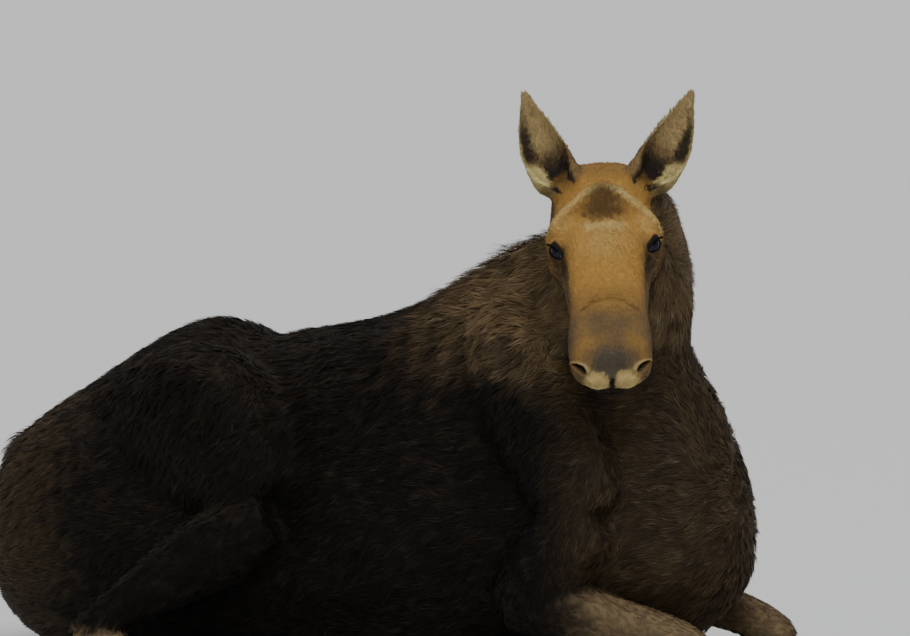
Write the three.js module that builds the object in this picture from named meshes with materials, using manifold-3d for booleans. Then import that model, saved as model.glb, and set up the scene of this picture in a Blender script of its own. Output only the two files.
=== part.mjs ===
// A cow moose bedded down at life size: trunk upright on its breastbone, legs folded, head turned to its right.
// Millimetres. +X runs forward along the trunk, +Y to the animal's left, +Z up, and Z = 0 is the floor.
// The origin is on the floor, in the middle of the flat under the belly.
import * as THREE from 'three';
import { mergeVertices } from 'three/addons/utils/BufferGeometryUtils.js';
import Module from 'manifold-3d';

const wasm = await Module();
wasm.setup();

// Driving dimensions
const GAP = 0.5; // between neighbouring pieces
const WITHERS = 985; // top of the shoulder hump above the floor
const RUMP_X = -918; // hindmost point of the rump
const CHEST_X = 905; // foremost point of the breast
const BELLY_WIDTH = 640; // across the ribs
const HEAD_LENGTH = 618; // back of the skull to the tip of the upper lip
const HEAD_YAW = 60; // degrees that the head is turned to the animal's right
const HEAD_PITCH = 40; // degrees that the nose points below the horizon
const HEAD_ROLL = 3; // degrees, left eye up
const HEAD_AT = [599, -88, 1073]; // back of the skull, on the head's axis
const EYE_RADIUS = 21;
const EAR_LENGTH = 212;
const EAR_THICKNESS = 12;
const HOOF_LENGTH = 125;
const FLOOR_CUT = 30; // how far the belly would sink below the floor before it is cut flat

const COAT_DARK = { color: 0x1d1611, roughness: 0.95, metalness: 0 };
const COAT_FACE = { color: 0x8a6238, roughness: 0.9, metalness: 0 };
const COAT_LEG = { color: 0x5f5144, roughness: 0.95, metalness: 0 };
const EYE_DARK = { color: 0x0c0806, roughness: 0.05, metalness: 0 };
const HOOF_HORN = { color: 0x1b1917, roughness: 0.45, metalness: 0 };

const radians = THREE.MathUtils.degToRad;
const signedPower = (value, power) => Math.sign(value) * Math.abs(value) ** power;
const vector = ([x, y, z]) => new THREE.Vector3(x, y, z);

// Closed meshes become solids that can be cut and joined, and come back as geometry.
function solid(geometry) {
  const bare = geometry.clone();
  bare.deleteAttribute('normal');
  bare.deleteAttribute('uv');
  const merged = mergeVertices(bare, 1e-3);
  return new wasm.Manifold(new wasm.Mesh({
    numProp: 3,
    vertProperties: merged.attributes.position.array,
    triVerts: new Uint32Array(merged.index.array),
  }));
}

function geometryOf(manifold) {
  const { vertProperties, triVerts } = manifold.getMesh();
  const geometry = new THREE.BufferGeometry();
  geometry.setAttribute('position', new THREE.BufferAttribute(new Float32Array(vertProperties), 3));
  geometry.setIndex(new THREE.BufferAttribute(new Uint32Array(triVerts), 1));
  return geometry.toNonIndexed();
}

// A grid of points, closed round its second direction, with a cap at each end.
function closedGrid(rows) {
  const around = rows[0].length;
  const points = rows.flat();
  const indices = [];
  for (let row = 0; row + 1 < rows.length; row += 1) {
    for (let i = 0; i < around; i += 1) {
      const a = row * around + i;
      const b = row * around + ((i + 1) % around);
      indices.push(a, b, b + around, a, b + around, a + around);
    }
  }
  [[0, -1], [rows.length - 1, 1]].forEach(([row, facing]) => {
    const centre = points.length;
    points.push(rows[row].reduce((sum, point) => sum.add(point), new THREE.Vector3()).divideScalar(around));
    for (let i = 0; i < around; i += 1) {
      const a = row * around + i;
      const b = row * around + ((i + 1) % around);
      indices.push(...(facing > 0 ? [a, b, centre] : [b, a, centre]));
    }
  });
  const geometry = new THREE.BufferGeometry().setFromPoints(points);
  geometry.setIndex(indices);
  return geometry;
}

// A body part as cross-sections along a smooth line. Each station holds its centre, the direction of its back,
// its half-width, its rise towards the back, its drop away from it, and how pointed its two halves are.
function loft(stations, { rings, around, grow = 0 }) {
  const last = stations.length - 1;
  const smooth = (pick) => new THREE.CatmullRomCurve3(stations.map(pick), false, 'catmullrom', 0.5);
  const centres = smooth((s) => vector(s.at));
  const backs = smooth((s) => vector(s.back ?? [0, 0, 1]));
  const sizes = smooth((s) => new THREE.Vector3(s.wide, s.rise, s.drop ?? s.rise));
  const shapes = smooth((s) => new THREE.Vector3(s.point ?? 0.95, s.keel ?? 0.95, 0));
  return closedGrid(Array.from({ length: rings + 1 }, (_, ring) => {
    const share = ring / rings;
    const centre = centres.getPoint(share);
    const along = centres.getTangent(share);
    const side = backs.getPoint(share).cross(along).normalize();
    const up = along.clone().cross(side);
    const [wide, rise, drop] = sizes.getPoint(share).addScalar(grow).toArray();
    const [point, keel] = shapes.getPoint(share).toArray();
    if (ring === 0) centre.addScaledVector(along, -grow);
    if (ring === rings) centre.addScaledVector(along, grow);
    return Array.from({ length: around }, (_, i) => {
      const angle = (i / around) * 2 * Math.PI;
      const [height, power] = Math.sin(angle) > 0 ? [rise, point] : [drop, keel];
      return centre.clone()
        .addScaledVector(side, signedPower(Math.cos(angle), power) * wide)
        .addScaledVector(up, signedPower(Math.sin(angle), power) * height);
    });
  }));
}

// The trunk: [x, top, bottom, half-width, roll to the left in degrees, point of the back, point of the keel]
const TRUNK_AXIS = 300; // height of the line that the sections are set out from
const TRUNK = [
  [RUMP_X, 392, 245, 62, 10, 0.85, 0.9],
  [-904, 446, 150, 122, 11, 0.92, 0.86],
  [-868, 492, 72, 176, 12, 1.0, 0.8],
  [-790, 556, 12, 222, 13, 1.05, 0.76],
  [-670, 634, -22, 256, 14, 1.05, 0.78],
  [-590, 688, -18, 274, 14, 1.0, 0.82],
  [-510, 730, -FLOOR_CUT, 286, 14, 0.9, 0.85],
  [-430, 755, -FLOOR_CUT, 292, 13, 0.86, 0.85],
  [-365, 756, -FLOOR_CUT, 292, 12, 0.86, 0.85],
  [-305, 732, -FLOOR_CUT, 292, 11, 0.9, 0.85],
  [-250, 723, -FLOOR_CUT, 292, 9, 0.96, 0.85],
  [-170, 741, -FLOOR_CUT, 296, 7, 1.0, 0.85],
  [0, 768, -FLOOR_CUT, BELLY_WIDTH / 2, 2, 0.97, 0.85],
  [150, 818, -FLOOR_CUT, BELLY_WIDTH / 2 - 6, 0, 1.05, 0.9],
  [280, 905, -FLOOR_CUT, 294, 0, 1.28, 1.0],
  [400, WITHERS - 10, -FLOOR_CUT, 266, 0, 1.45, 1.15],
  [500, WITHERS - 3, -8, 248, 0, 1.45, 1.25],
  [610, 915, 12, 230, 0, 1.23, 1.25],
  [705, 795, 50, 208, 0, 1.0, 1.2],
  [785, 672, 95, 176, 0, 0.9, 1.1],
  [845, 562, 145, 135, 0, 0.9, 1.0],
  [882, 478, 190, 98, 0, 0.9, 0.9],
  [CHEST_X, 415, 240, 55, 0, 0.9, 0.9],
];

function trunkStations() {
  return TRUNK.map(([x, top, bottom, wide, roll, point, keel]) => ({
    at: [x, 0, TRUNK_AXIS],
    back: [0, Math.sin(radians(roll)), Math.cos(radians(roll))],
    wide,
    rise: top - TRUNK_AXIS,
    drop: TRUNK_AXIS - bottom,
    point,
    keel,
  }));
}

// A limb's stations are mirrored for the other side, and its parts are named for it.
const onSide = (side, stations) => stations.map((s) => ({
  ...s,
  at: [s.at[0], s.at[1] * side, s.at[2]],
  back: s.back && [s.back[0], s.back[1] * side, s.back[2]],
}));

const NECK = [
  { at: [450, 0, 610], back: [-0.75, 0, 0.66], wide: 185, rise: 240, drop: 245, point: 1.3 },
  { at: [535, -5, 725], back: [-0.78, 0, 0.6], wide: 175, rise: 220, drop: 220, point: 1.35 },
  { at: [602, -25, 850], back: [-0.85, 0.2, 0.4], wide: 152, rise: 178, drop: 188, point: 1.25 },
  { at: [632, -55, 970], back: [-0.7, 0.6, 0.3], wide: 128, rise: 138, drop: 158, point: 1.15 },
  { at: [640, -92, 1062], back: [-0.45, 0.8, 0.35], wide: 100, rise: 88, drop: 108, point: 1.0 },
];

const SHOULDER = [
  { at: [385, 140, 815], back: [-0.7, 0, 0.7], wide: 42, rise: 70, drop: 70 },
  { at: [455, 190, 690], back: [-0.8, 0, 0.6], wide: 72, rise: 120, drop: 110 },
  { at: [550, 215, 545], back: [-0.8, 0, 0.6], wide: 88, rise: 128, drop: 112 },
  { at: [625, 225, 425], back: [-0.8, 0, 0.6], wide: 90, rise: 112, drop: 98 },
  { at: [655, 228, 375], back: [-0.8, 0, 0.6], wide: 76, rise: 88, drop: 78 },
];

const UPPER_ARM = [
  { at: [668, 228, 372], back: [-0.55, 0, 0.8], wide: 66, rise: 66, drop: 62 },
  { at: [630, 234, 335], back: [-0.6, 0, 0.8], wide: 82, rise: 92, drop: 88 },
  { at: [560, 240, 270], back: [-0.6, 0, 0.8], wide: 78, rise: 100, drop: 92 },
  { at: [485, 244, 205], back: [-0.6, 0, 0.8], wide: 66, rise: 80, drop: 74 },
  { at: [450, 244, 178], back: [-0.6, 0, 0.8], wide: 50, rise: 52, drop: 52 },
];

const FOREARM = [
  { at: [460, 246, 172], wide: 52, rise: 66, drop: 58 },
  { at: [560, 243, 165], wide: 62, rise: 80, drop: 64 },
  { at: [690, 228, 150], wide: 52, rise: 62, drop: 52 },
  { at: [800, 208, 128], wide: 47, rise: 51, drop: 46 },
  { at: [868, 198, 102], wide: 49, rise: 49, drop: 51 },
  { at: [905, 194, 72], wide: 43, rise: 39, drop: 42 },
];

const FORE_CANNON = [
  { at: [890, 192, 42], back: [0.25, 0, 1], wide: 36, rise: 38, drop: 48 },
  { at: [820, 190, 34], wide: 35, rise: 33, drop: 44 },
  { at: [700, 192, 30], wide: 32, rise: 30, drop: 40 },
  { at: [590, 198, 32], wide: 33, rise: 33, drop: 40 },
  { at: [535, 202, 34], wide: 41, rise: 38, drop: 44 },
  { at: [480, 206, 38], wide: 38, rise: 34, drop: 44 },
  { at: [445, 208, 42], wide: 36, rise: 32, drop: 36 },
];

const THIGH_RIGHT = [
  { at: [-518, 95, 562], back: [-0.3, 0.1, 0.95], wide: 100, rise: 72, drop: 180 },
  { at: [-430, 145, 550], back: [-0.15, 0.1, 1], wide: 143, rise: 160, drop: 224 },
  { at: [-312, 188, 520], back: [0.05, 0.15, 1], wide: 157, rise: 202, drop: 225 },
  { at: [-222, 230, 484], back: [0.3, 0.25, 0.9], wide: 146, rise: 182, drop: 212 },
  { at: [-148, 280, 432], back: [0.5, 0.3, 0.75], wide: 112, rise: 130, drop: 164 },
  { at: [-85, 315, 380], back: [0.6, 0.3, 0.7], wide: 70, rise: 80, drop: 98 },
];

const SHANK_RIGHT = [
  { at: [-70, 330, 350], back: [0.6, 0, 0.8], wide: 62, rise: 66, drop: 60 },
  { at: [-150, 345, 305], back: [0.5, 0, 0.85], wide: 78, rise: 92, drop: 92 },
  { at: [-270, 362, 240], back: [0.5, 0, 0.85], wide: 68, rise: 78, drop: 88 },
  { at: [-390, 382, 165], back: [0.5, 0, 0.85], wide: 48, rise: 52, drop: 62 },
  { at: [-465, 395, 112], back: [0.5, 0, 0.85], wide: 41, rise: 44, drop: 58 },
  { at: [-508, 402, 75], back: [0.5, 0, 0.85], wide: 38, rise: 40, drop: 46 },
];

const HIND_CANNON_RIGHT = [
  { at: [-525, 402, 62], wide: 36, rise: 40, drop: 40 },
  { at: [-450, 406, 48], wide: 40, rise: 46, drop: 56 },
  { at: [-360, 412, 40], wide: 34, rise: 36, drop: 48 },
  { at: [-230, 420, 36], wide: 31, rise: 33, drop: 46 },
  { at: [-130, 426, 36], wide: 36, rise: 38, drop: 48 },
  { at: [-75, 430, 37], wide: 42, rise: 42, drop: 52 },
  { at: [-20, 433, 35], wide: 39, rise: 34, drop: 44 },
  { at: [5, 435, 34], wide: 37, rise: 32, drop: 38 },
];

const THIGH_LEFT = [
  { at: [-560, 100, 480], back: [-0.4, -0.2, 0.9], wide: 120, rise: 120, drop: 200 },
  { at: [-440, 170, 430], back: [-0.1, -0.3, 1], wide: 150, rise: 180, drop: 240 },
  { at: [-310, 225, 380], back: [0.2, -0.3, 1], wide: 150, rise: 185, drop: 230 },
  { at: [-190, 275, 320], back: [0.5, -0.2, 0.8], wide: 128, rise: 150, drop: 175 },
  { at: [-100, 305, 270], back: [0.5, -0.2, 0.8], wide: 84, rise: 96, drop: 105 },
];

const SHANK_LEFT = [
  { at: [-75, 325, 235], back: [0.4, 0, 0.9], wide: 62, rise: 60, drop: 62 },
  { at: [-160, 345, 205], back: [0.3, 0, 0.95], wide: 80, rise: 84, drop: 92 },
  { at: [-280, 362, 165], back: [0.3, 0, 0.95], wide: 70, rise: 70, drop: 84 },
  { at: [-395, 375, 125], back: [0.3, 0, 0.95], wide: 49, rise: 50, drop: 58 },
  { at: [-470, 384, 92], back: [0.3, 0, 0.95], wide: 41, rise: 42, drop: 52 },
  { at: [-512, 388, 68], back: [0.3, 0, 0.95], wide: 37, rise: 38, drop: 42 },
];

const HIND_CANNON_LEFT = HIND_CANNON_RIGHT.map(({ at: [x, y, z], ...rest }) => ({
  at: [x - 5, y - 8, z],
  ...rest,
}));

// Everything on the head is set out along its own axes: X from the back of the skull to the lip, Z to the brow.
function headMatrix() {
  const yaw = radians(HEAD_YAW);
  const pitch = radians(HEAD_PITCH);
  const ahead = new THREE.Vector3(
    Math.cos(pitch) * Math.cos(yaw), -Math.cos(pitch) * Math.sin(yaw), -Math.sin(pitch),
  );
  const left = new THREE.Vector3(Math.sin(yaw), Math.cos(yaw), 0).applyAxisAngle(ahead, radians(HEAD_ROLL));
  const brow = ahead.clone().cross(left);
  return new THREE.Matrix4().makeBasis(ahead, left, brow).setPosition(vector(HEAD_AT));
}
const onHead = (geometry) => geometry.applyMatrix4(headMatrix());

// The skull and upper jaw:
// [share of the head's length, half-width, top, bottom, point of the brow, point of the base]
const HEAD = [
  [0, 76, 76, -66, 0.7, 1],
  [0.072, 103, 93, -92, 0.5, 0.93],
  [0.15, 112, 102, -110, 0.62, 0.9],
  [0.232, 117, 109, -112, 0.68, 0.9],
  [0.304, 122, 108, -110, 0.54, 0.9],
  [0.35, 123, 104, -105, 0.5, 0.92],
  [0.39, 116, 99, -99, 0.56, 0.92],
  [0.43, 105, 93, -93, 0.66, 0.92],
  [0.48, 93, 88, -87, 0.76, 0.9],
  [0.56, 86, 85, -78, 0.8, 0.88],
  [0.65, 82, 86, -70, 0.8, 0.86],
  [0.76, 84, 91, -62, 0.77, 0.84],
  [0.84, 87, 88, -57, 0.73, 0.82],
  [0.9, 87, 75, -50, 0.73, 0.82],
  [0.945, 83, 56, -38, 0.77, 0.85],
  [0.978, 70, 34, -22, 0.86, 0.9],
  [1, 46, 18, -6, 1, 1],
];

const headStations = () => HEAD.map(([share, wide, top, bottom, point, keel]) => ({
  at: [share * HEAD_LENGTH, 0, (top + bottom) / 2],
  wide,
  rise: (top - bottom) / 2,
  point,
  keel,
}));

const LOWER_JAW = [
  { at: [70, 0, -114], wide: 60, rise: 45, drop: 30 },
  { at: [130, 0, -118], wide: 76, rise: 60, drop: 52 },
  { at: [205, 0, -112], wide: 70, rise: 60, drop: 50 },
  { at: [290, 0, -98], wide: 56, rise: 50, drop: 36 },
  { at: [380, 0, -88], wide: 44, rise: 46, drop: 30 },
  { at: [450, 0, -80], wide: 42, rise: 40, drop: 30 },
  { at: [510, 0, -78], wide: 50, rise: 36, drop: 30 },
  { at: [542, 0, -74], wide: 46, rise: 30, drop: 24 },
  { at: [560, 0, -72], wide: 26, rise: 16, drop: 12 },
];

// Where the eyes and ears are.
const EYE_PLACES = { left: [248, 94.5, 53.5], right: [254.5, -94.5, 50.5] };
const EAR_ROOTS = { left: [46, 103, 62], right: [46, 89, 62] };
const EAR_POINTS = [-0.78, 0, 0.49];
const EAR_LEANS = { left: 0.51, right: 0.33 }; // how far each ear leans outwards
const EAR_OPENS = [0.72, 0.1, 0.68];
// The ear from inside the skull to its tip:
// [share of its length, half-width, half the angle that it wraps round, how far it bows outwards, thickness]
const EAR = [
  [-0.2, 24, 160, -14, 40],
  [-0.08, 36, 138, -4, 40],
  [0.03, 42, 118, 2, 24],
  [0.13, 47, 98, 4, EAR_THICKNESS],
  [0.25, 49, 82, 6, EAR_THICKNESS],
  [0.38, 47, 70, 9, EAR_THICKNESS],
  [0.52, 41, 60, 9, EAR_THICKNESS],
  [0.66, 32, 54, 8, EAR_THICKNESS],
  [0.79, 22, 50, 5, EAR_THICKNESS],
  [0.9, 13, 48, 2, EAR_THICKNESS],
  [1, 6, 50, 0, EAR_THICKNESS],
];
const EAR_ROWS = 22;
const EAR_COLUMNS = 12;

// A table of numbers, read at evenly spaced places along a smooth curve through its rows.
function smoothRows(table, count) {
  const width = table[0].length;
  const curves = Array.from({ length: Math.ceil(width / 3) }, (_, block) => new THREE.CatmullRomCurve3(
    table.map((row) => vector([0, 1, 2].map((i) => row[block * 3 + i] ?? 0))), false, 'catmullrom', 0.5,
  ));
  return Array.from({ length: count + 1 }, (_, i) => (
    curves.flatMap((curve) => curve.getPoint(i / count).toArray()).slice(0, width)
  ));
}

// A leaf rolled into a trough, open towards the front, with a skin that thins to its rim.
function earGeometry(name, side, grow) {
  const up = vector(EAR_POINTS).setY(EAR_LEANS[name]).normalize();
  const opens = vector(EAR_OPENS);
  opens.addScaledVector(up, -opens.dot(up)).normalize();
  const across = up.clone().cross(opens).normalize();
  const point = ([share, width, wrap, bow, thickness], v, face) => {
    const radius = width / Math.sin(Math.min(radians(wrap), Math.PI / 2));
    const turn = v * radians(wrap);
    const thick = Math.min(thickness / 2, radius / 2) * (1 - 0.5 * v * v);
    const reach = radius + face * (thick + grow);
    return vector(EAR_ROOTS[name])
      .addScaledVector(up, share * EAR_LENGTH)
      .addScaledVector(across, Math.sin(turn) * reach + bow)
      .addScaledVector(opens, radius * 0.6 - Math.cos(turn) * reach - 12 * share);
  };
  const steps = Array.from({ length: EAR_COLUMNS + 1 }, (_, i) => (2 * i) / EAR_COLUMNS - 1);
  const rows = smoothRows(EAR, EAR_ROWS).map((station) => {
    const outer = steps.map((v) => point(station, v, 1));
    const inner = steps.map((v) => point(station, -v, -1));
    return [...outer, ...inner].map((p) => new THREE.Vector3(p.x, p.y * side, p.z));
  });
  if (side > 0) rows.forEach((row) => row.reverse());
  return onHead(closedGrid(rows));
}

// One claw of a cloven hoof: a wedge with a flat sole that narrows to its toe.
function clawStations(at, ahead, sole, side) {
  const along = vector(ahead).normalize();
  const back = vector(sole).negate();
  const across = back.clone().cross(along).normalize();
  const place = (forward, rise, sideways) => vector(at)
    .addScaledVector(along, forward)
    .addScaledVector(back, rise)
    .addScaledVector(across, sideways * side)
    .toArray();
  const [length, wide] = [HOOF_LENGTH, 23];
  return [
    { at: place(0, 0, 21), wide, rise: 28, drop: 26 },
    { at: place(length * 0.35, -4, 23), wide: wide + 3, rise: 24, drop: 22 },
    { at: place(length * 0.75, -10, 21), wide: wide - 1, rise: 14, drop: 16 },
    { at: place(length, -16, 13), wide: 9, rise: 5, drop: 9 },
  ].map((s) => ({ ...s, back: back.toArray(), point: 0.85, keel: 0.85 }));
}

const TAIL = [
  { at: [-868, 30, 478], back: [-0.6, 0, 0.8], wide: 36, rise: 26, drop: 26 },
  { at: [-908, 26, 452], back: [-0.8, 0, 0.6], wide: 37, rise: 24, drop: 24 },
  { at: [-936, 20, 404], back: [-1, 0, 0.3], wide: 32, rise: 20, drop: 20 },
  { at: [-944, 16, 350], back: [-1, 0, 0.1], wide: 22, rise: 14, drop: 14 },
  { at: [-942, 14, 318], back: [-1, 0, 0], wide: 12, rise: 9, drop: 9 },
];

const BELL = [
  { at: [656, -180, 815], back: [-1, 0, 0], wide: 26, rise: 28, drop: 28 },
  { at: [662, -198, 765], back: [-1, 0, 0], wide: 22, rise: 24, drop: 24 },
  { at: [664, -206, 712], back: [-1, 0, 0], wide: 16, rise: 18, drop: 18 },
  { at: [664, -208, 662], back: [-1, 0, 0], wide: 8, rise: 9, drop: 9 },
];

// Dewclaws sit behind the fetlocks: [x, y, z, half their spacing]
const DEWCLAW_RADII = [26, 11, 13];
const DEWCLAWS = { fore: [516, 203, 76, 19], hind: [-142, 424, 17, 30] };

// The upper body stays above the floor: what would sink into it is cut flat.
const aboveFloor = (() => {
  const room = new THREE.BoxGeometry(4000, 4000, 3000).translate(0, 0, 1500);
  return (piece) => piece.intersect(solid(room));
})();

// Pieces are claimed in order: each one keeps clear, by the gap, of all that were claimed before it.
const claimed = [];
function claim(name, material, build) {
  let piece = solid(build(0));
  claimed.forEach((earlier) => {
    piece = piece.subtract(earlier.grown);
  });
  piece = aboveFloor(piece);
  const largest = piece.decompose().sort((a, b) => b.volume() - a.volume())[0];
  claimed.push({ name, material, piece: largest, grown: solid(build(GAP)) });
}

const lofted = (stations, rings, around) => (grow) => loft(stations, { rings, around, grow });
const SIDES = [['left', 1], ['right', -1]];

SIDES.forEach(([name]) => {
  const ball = (grow) => new THREE.SphereGeometry(EYE_RADIUS + grow, 12, 8).translate(...EYE_PLACES[name]);
  claim(`eye_${name}`, EYE_DARK, (grow) => onHead(ball(grow)));
});
claim('head', COAT_FACE, (grow) => onHead(loft(headStations(), { rings: 24, around: 20, grow })));
claim('lower_jaw', COAT_FACE, (grow) => onHead(loft(LOWER_JAW, { rings: 9, around: 10, grow })));
SIDES.forEach(([name, side]) => claim(`ear_${name}`, COAT_LEG, (grow) => earGeometry(name, side, grow)));

SIDES.forEach(([name, side]) => {
  const right = side < 0;
  const hindToe = right ? [6, -435, 33] : [1, 427, 33];
  const clawSets = [
    ['fore', [438, 209 * side, 40], [-1, 0.04 * side, 0.1], [0, 0, 1]],
    ['hind', hindToe, [1, 0.03 * side, -0.02], [0, 0, -1]],
  ];
  clawSets.forEach(([limb, at, ahead, sole]) => {
    [['outer', 1], ['inner', -1]].forEach(([claw, clawSide]) => {
      const stations = clawStations(at, ahead, sole, clawSide * side);
      claim(`hoof_${limb}_${name}_${claw}`, HOOF_HORN, lofted(stations, 3, 8));
    });
  });
  claim(`thigh_${name}`, COAT_DARK, lofted(onSide(side, right ? THIGH_RIGHT : THIGH_LEFT), 7, 12));
});
claim('trunk', COAT_DARK, lofted(trunkStations(), 32, 18));
SIDES.forEach(([name, side]) => {
  const right = side < 0;
  claim(`shank_${name}`, COAT_DARK, lofted(onSide(side, right ? SHANK_RIGHT : SHANK_LEFT), 7, 8));
  const cannon = right ? HIND_CANNON_RIGHT : HIND_CANNON_LEFT;
  claim(`hind_cannon_${name}`, COAT_LEG, lofted(onSide(side, cannon), 8, 8));
  claim(`shoulder_${name}`, COAT_DARK, lofted(onSide(side, SHOULDER), 6, 12));
  claim(`upper_arm_${name}`, COAT_DARK, lofted(onSide(side, UPPER_ARM), 6, 10));
  claim(`forearm_${name}`, COAT_LEG, lofted(onSide(side, FOREARM), 7, 8));
  claim(`fore_cannon_${name}`, COAT_LEG, lofted(onSide(side, FORE_CANNON), 8, 8));
});
SIDES.forEach(([name, side]) => {
  Object.entries(DEWCLAWS).forEach(([limb, [x, y, z, apart]]) => {
    [['outer', 1], ['inner', -1]].forEach(([claw, clawSide]) => {
      const at = [x, (y + apart * clawSide) * side, z];
      const sizes = (grow) => DEWCLAW_RADII.map((radius) => radius + grow);
      const horn = (grow) => new THREE.SphereGeometry(1, 7, 5).scale(...sizes(grow)).translate(...at);
      claim(`dewclaw_${limb}_${name}_${claw}`, HOOF_HORN, horn);
    });
  });
});
claim('neck', COAT_DARK, lofted(NECK, 8, 16));
claim('bell', COAT_DARK, lofted(BELL, 5, 8));
claim('tail', COAT_DARK, lofted(TAIL, 7, 8));

const moose = new THREE.Group();
claimed.forEach(({ name, material, piece }) => {
  const mesh = new THREE.Mesh(geometryOf(piece), new THREE.MeshStandardMaterial(material));
  mesh.name = name;
  moose.add(mesh);
});

export default moose;
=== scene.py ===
"""A cow moose bedded down, at life size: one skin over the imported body, with lids, lips and folds, and a coat
of small tufts laid along it. Metres; +X forward along the trunk, +Y to the animal's left, +Z up."""

import math

import bmesh
import bpy
import numpy as np
from mathutils import Matrix, Vector
from mathutils.bvhtree import BVHTree


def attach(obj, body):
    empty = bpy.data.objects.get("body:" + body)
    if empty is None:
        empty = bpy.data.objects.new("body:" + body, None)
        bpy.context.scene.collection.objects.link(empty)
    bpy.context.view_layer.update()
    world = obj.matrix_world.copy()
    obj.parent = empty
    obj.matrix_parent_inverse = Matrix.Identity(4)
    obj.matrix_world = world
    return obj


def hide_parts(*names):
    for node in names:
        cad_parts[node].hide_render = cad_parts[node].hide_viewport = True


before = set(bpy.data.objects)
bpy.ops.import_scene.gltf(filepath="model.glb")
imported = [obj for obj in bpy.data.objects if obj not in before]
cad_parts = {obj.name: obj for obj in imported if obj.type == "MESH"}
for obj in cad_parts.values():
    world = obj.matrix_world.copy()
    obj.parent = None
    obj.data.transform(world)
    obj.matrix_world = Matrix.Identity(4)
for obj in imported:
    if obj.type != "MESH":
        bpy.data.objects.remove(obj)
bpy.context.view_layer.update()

# ---------------------------------------------------------------- sizes

VIEW_AZIMUTH = 28.0  # degrees round from straight at the right side
VIEW_ELEVATION = 4.0
VIEW_DISTANCE = 20.0
FRAME_WIDTH, FRAME_HEIGHT = 910, 636
FLOOR_PIXEL = (375.0, 665.0)  # where the origin falls in the frame
PIXELS_PER_METRE = 457.0

HEAD_AT = np.array((0.599, -0.088, 1.073))  # back of the skull
HEAD_YAW, HEAD_PITCH, HEAD_ROLL = (math.radians(a) for a in (60.0, 40.0, 3.0))
HEAD_LENGTH = 0.618
EYE_RADIUS = 0.021
EYE_PLACES = {1: np.array((0.248, 0.0945, 0.0535)), -1: np.array((0.2545, -0.0945, 0.0505))}  # left and right
GAZE = np.array((0.56, 0.70, 0.44))
EYE_SLIT = np.array((-0.80, 0.58, 0.10))  # from the eye's front corner to its back one
NOSTRIL_AT = np.array((0.5875, 0.0650, 0.0285))
NOSTRIL_SLIT = np.array((0.84, -0.52, 0.06))
NOSTRIL_FACES = np.array((0.66, 0.66, 0.36))
EAR_ROOTS = {1: np.array((0.046, 0.103, 0.062)), -1: np.array((0.046, 0.089, 0.062))}
EAR_LEANS = {1: 0.51, -1: 0.33}
EAR_LENGTH = 0.212
# the ear's half-width and how far it bows outwards, at shares of its length
EAR_SHARES = (-0.2, 0.03, 0.13, 0.25, 0.38, 0.52, 0.66, 0.79, 0.9, 1.0)
EAR_WIDTHS = (0.024, 0.042, 0.047, 0.049, 0.047, 0.041, 0.032, 0.022, 0.013, 0.006)
EAR_BOWS = (-0.014, 0.002, 0.004, 0.006, 0.009, 0.009, 0.008, 0.005, 0.002, 0.0)

VOXEL = 0.0045
BODY_SMOOTHING = 36
HEAD_SMOOTHING = 9
EAR_SMOOTHING = 1
BODY_TRIANGLES = 36000
MOST_TRIANGLES = 196000  # in one piece of the coat
MM = 0.001


# ---------------------------------------------------------------- small helpers

def unit(v):
    v = np.asarray(v, dtype=float)
    return v / np.maximum(np.linalg.norm(v, axis=-1, keepdims=True), 1e-12)


def dot(a, b):
    return np.sum(a * b, axis=-1)


def ramp(low, high, x):
    """0 below low, 1 above high, smooth between; low may be the larger one."""
    t = np.clip((x - low) / (high - low), 0.0, 1.0)
    return t * t * (3.0 - 2.0 * t)


def bump(x, centre, width):
    return np.exp(-(((x - centre) / width) ** 2))


def mix(a, b, share):
    return a + (b - a) * share


def ripple(points, size, seed, waves=7):
    """A smooth random field of about unit height, with lumps of the given size."""
    rng = np.random.default_rng(seed)
    total = np.zeros(len(points))
    for _ in range(waves):
        direction = unit(rng.normal(size=3)) * 2.0 * math.pi / (size * rng.uniform(0.7, 1.6))
        total += np.sin(points @ direction + rng.uniform(0.0, 2.0 * math.pi))
    return total * math.sqrt(2.0 / waves)


def head_axes():
    ahead = np.array((
        math.cos(HEAD_PITCH) * math.cos(HEAD_YAW),
        -math.cos(HEAD_PITCH) * math.sin(HEAD_YAW),
        -math.sin(HEAD_PITCH),
    ))
    level = np.array((math.sin(HEAD_YAW), math.cos(HEAD_YAW), 0.0))
    left = level * math.cos(HEAD_ROLL) + np.cross(ahead, level) * math.sin(HEAD_ROLL)
    return np.stack((ahead, left, np.cross(ahead, left)))


HEAD_AXES = head_axes()


def to_head(points):
    return (points - HEAD_AT) @ HEAD_AXES.T


def from_head(points):
    return np.asarray(points) @ HEAD_AXES + HEAD_AT


# ---------------------------------------------------------------- meshes as arrays

def read_mesh(mesh):
    mesh.calc_loop_triangles()
    points = np.empty(len(mesh.vertices) * 3)
    mesh.vertices.foreach_get("co", points)
    triangles = np.empty(len(mesh.loop_triangles) * 3, dtype=np.int32)
    mesh.loop_triangles.foreach_get("vertices", triangles)
    return points.reshape(-1, 3), triangles.reshape(-1, 3)


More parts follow.
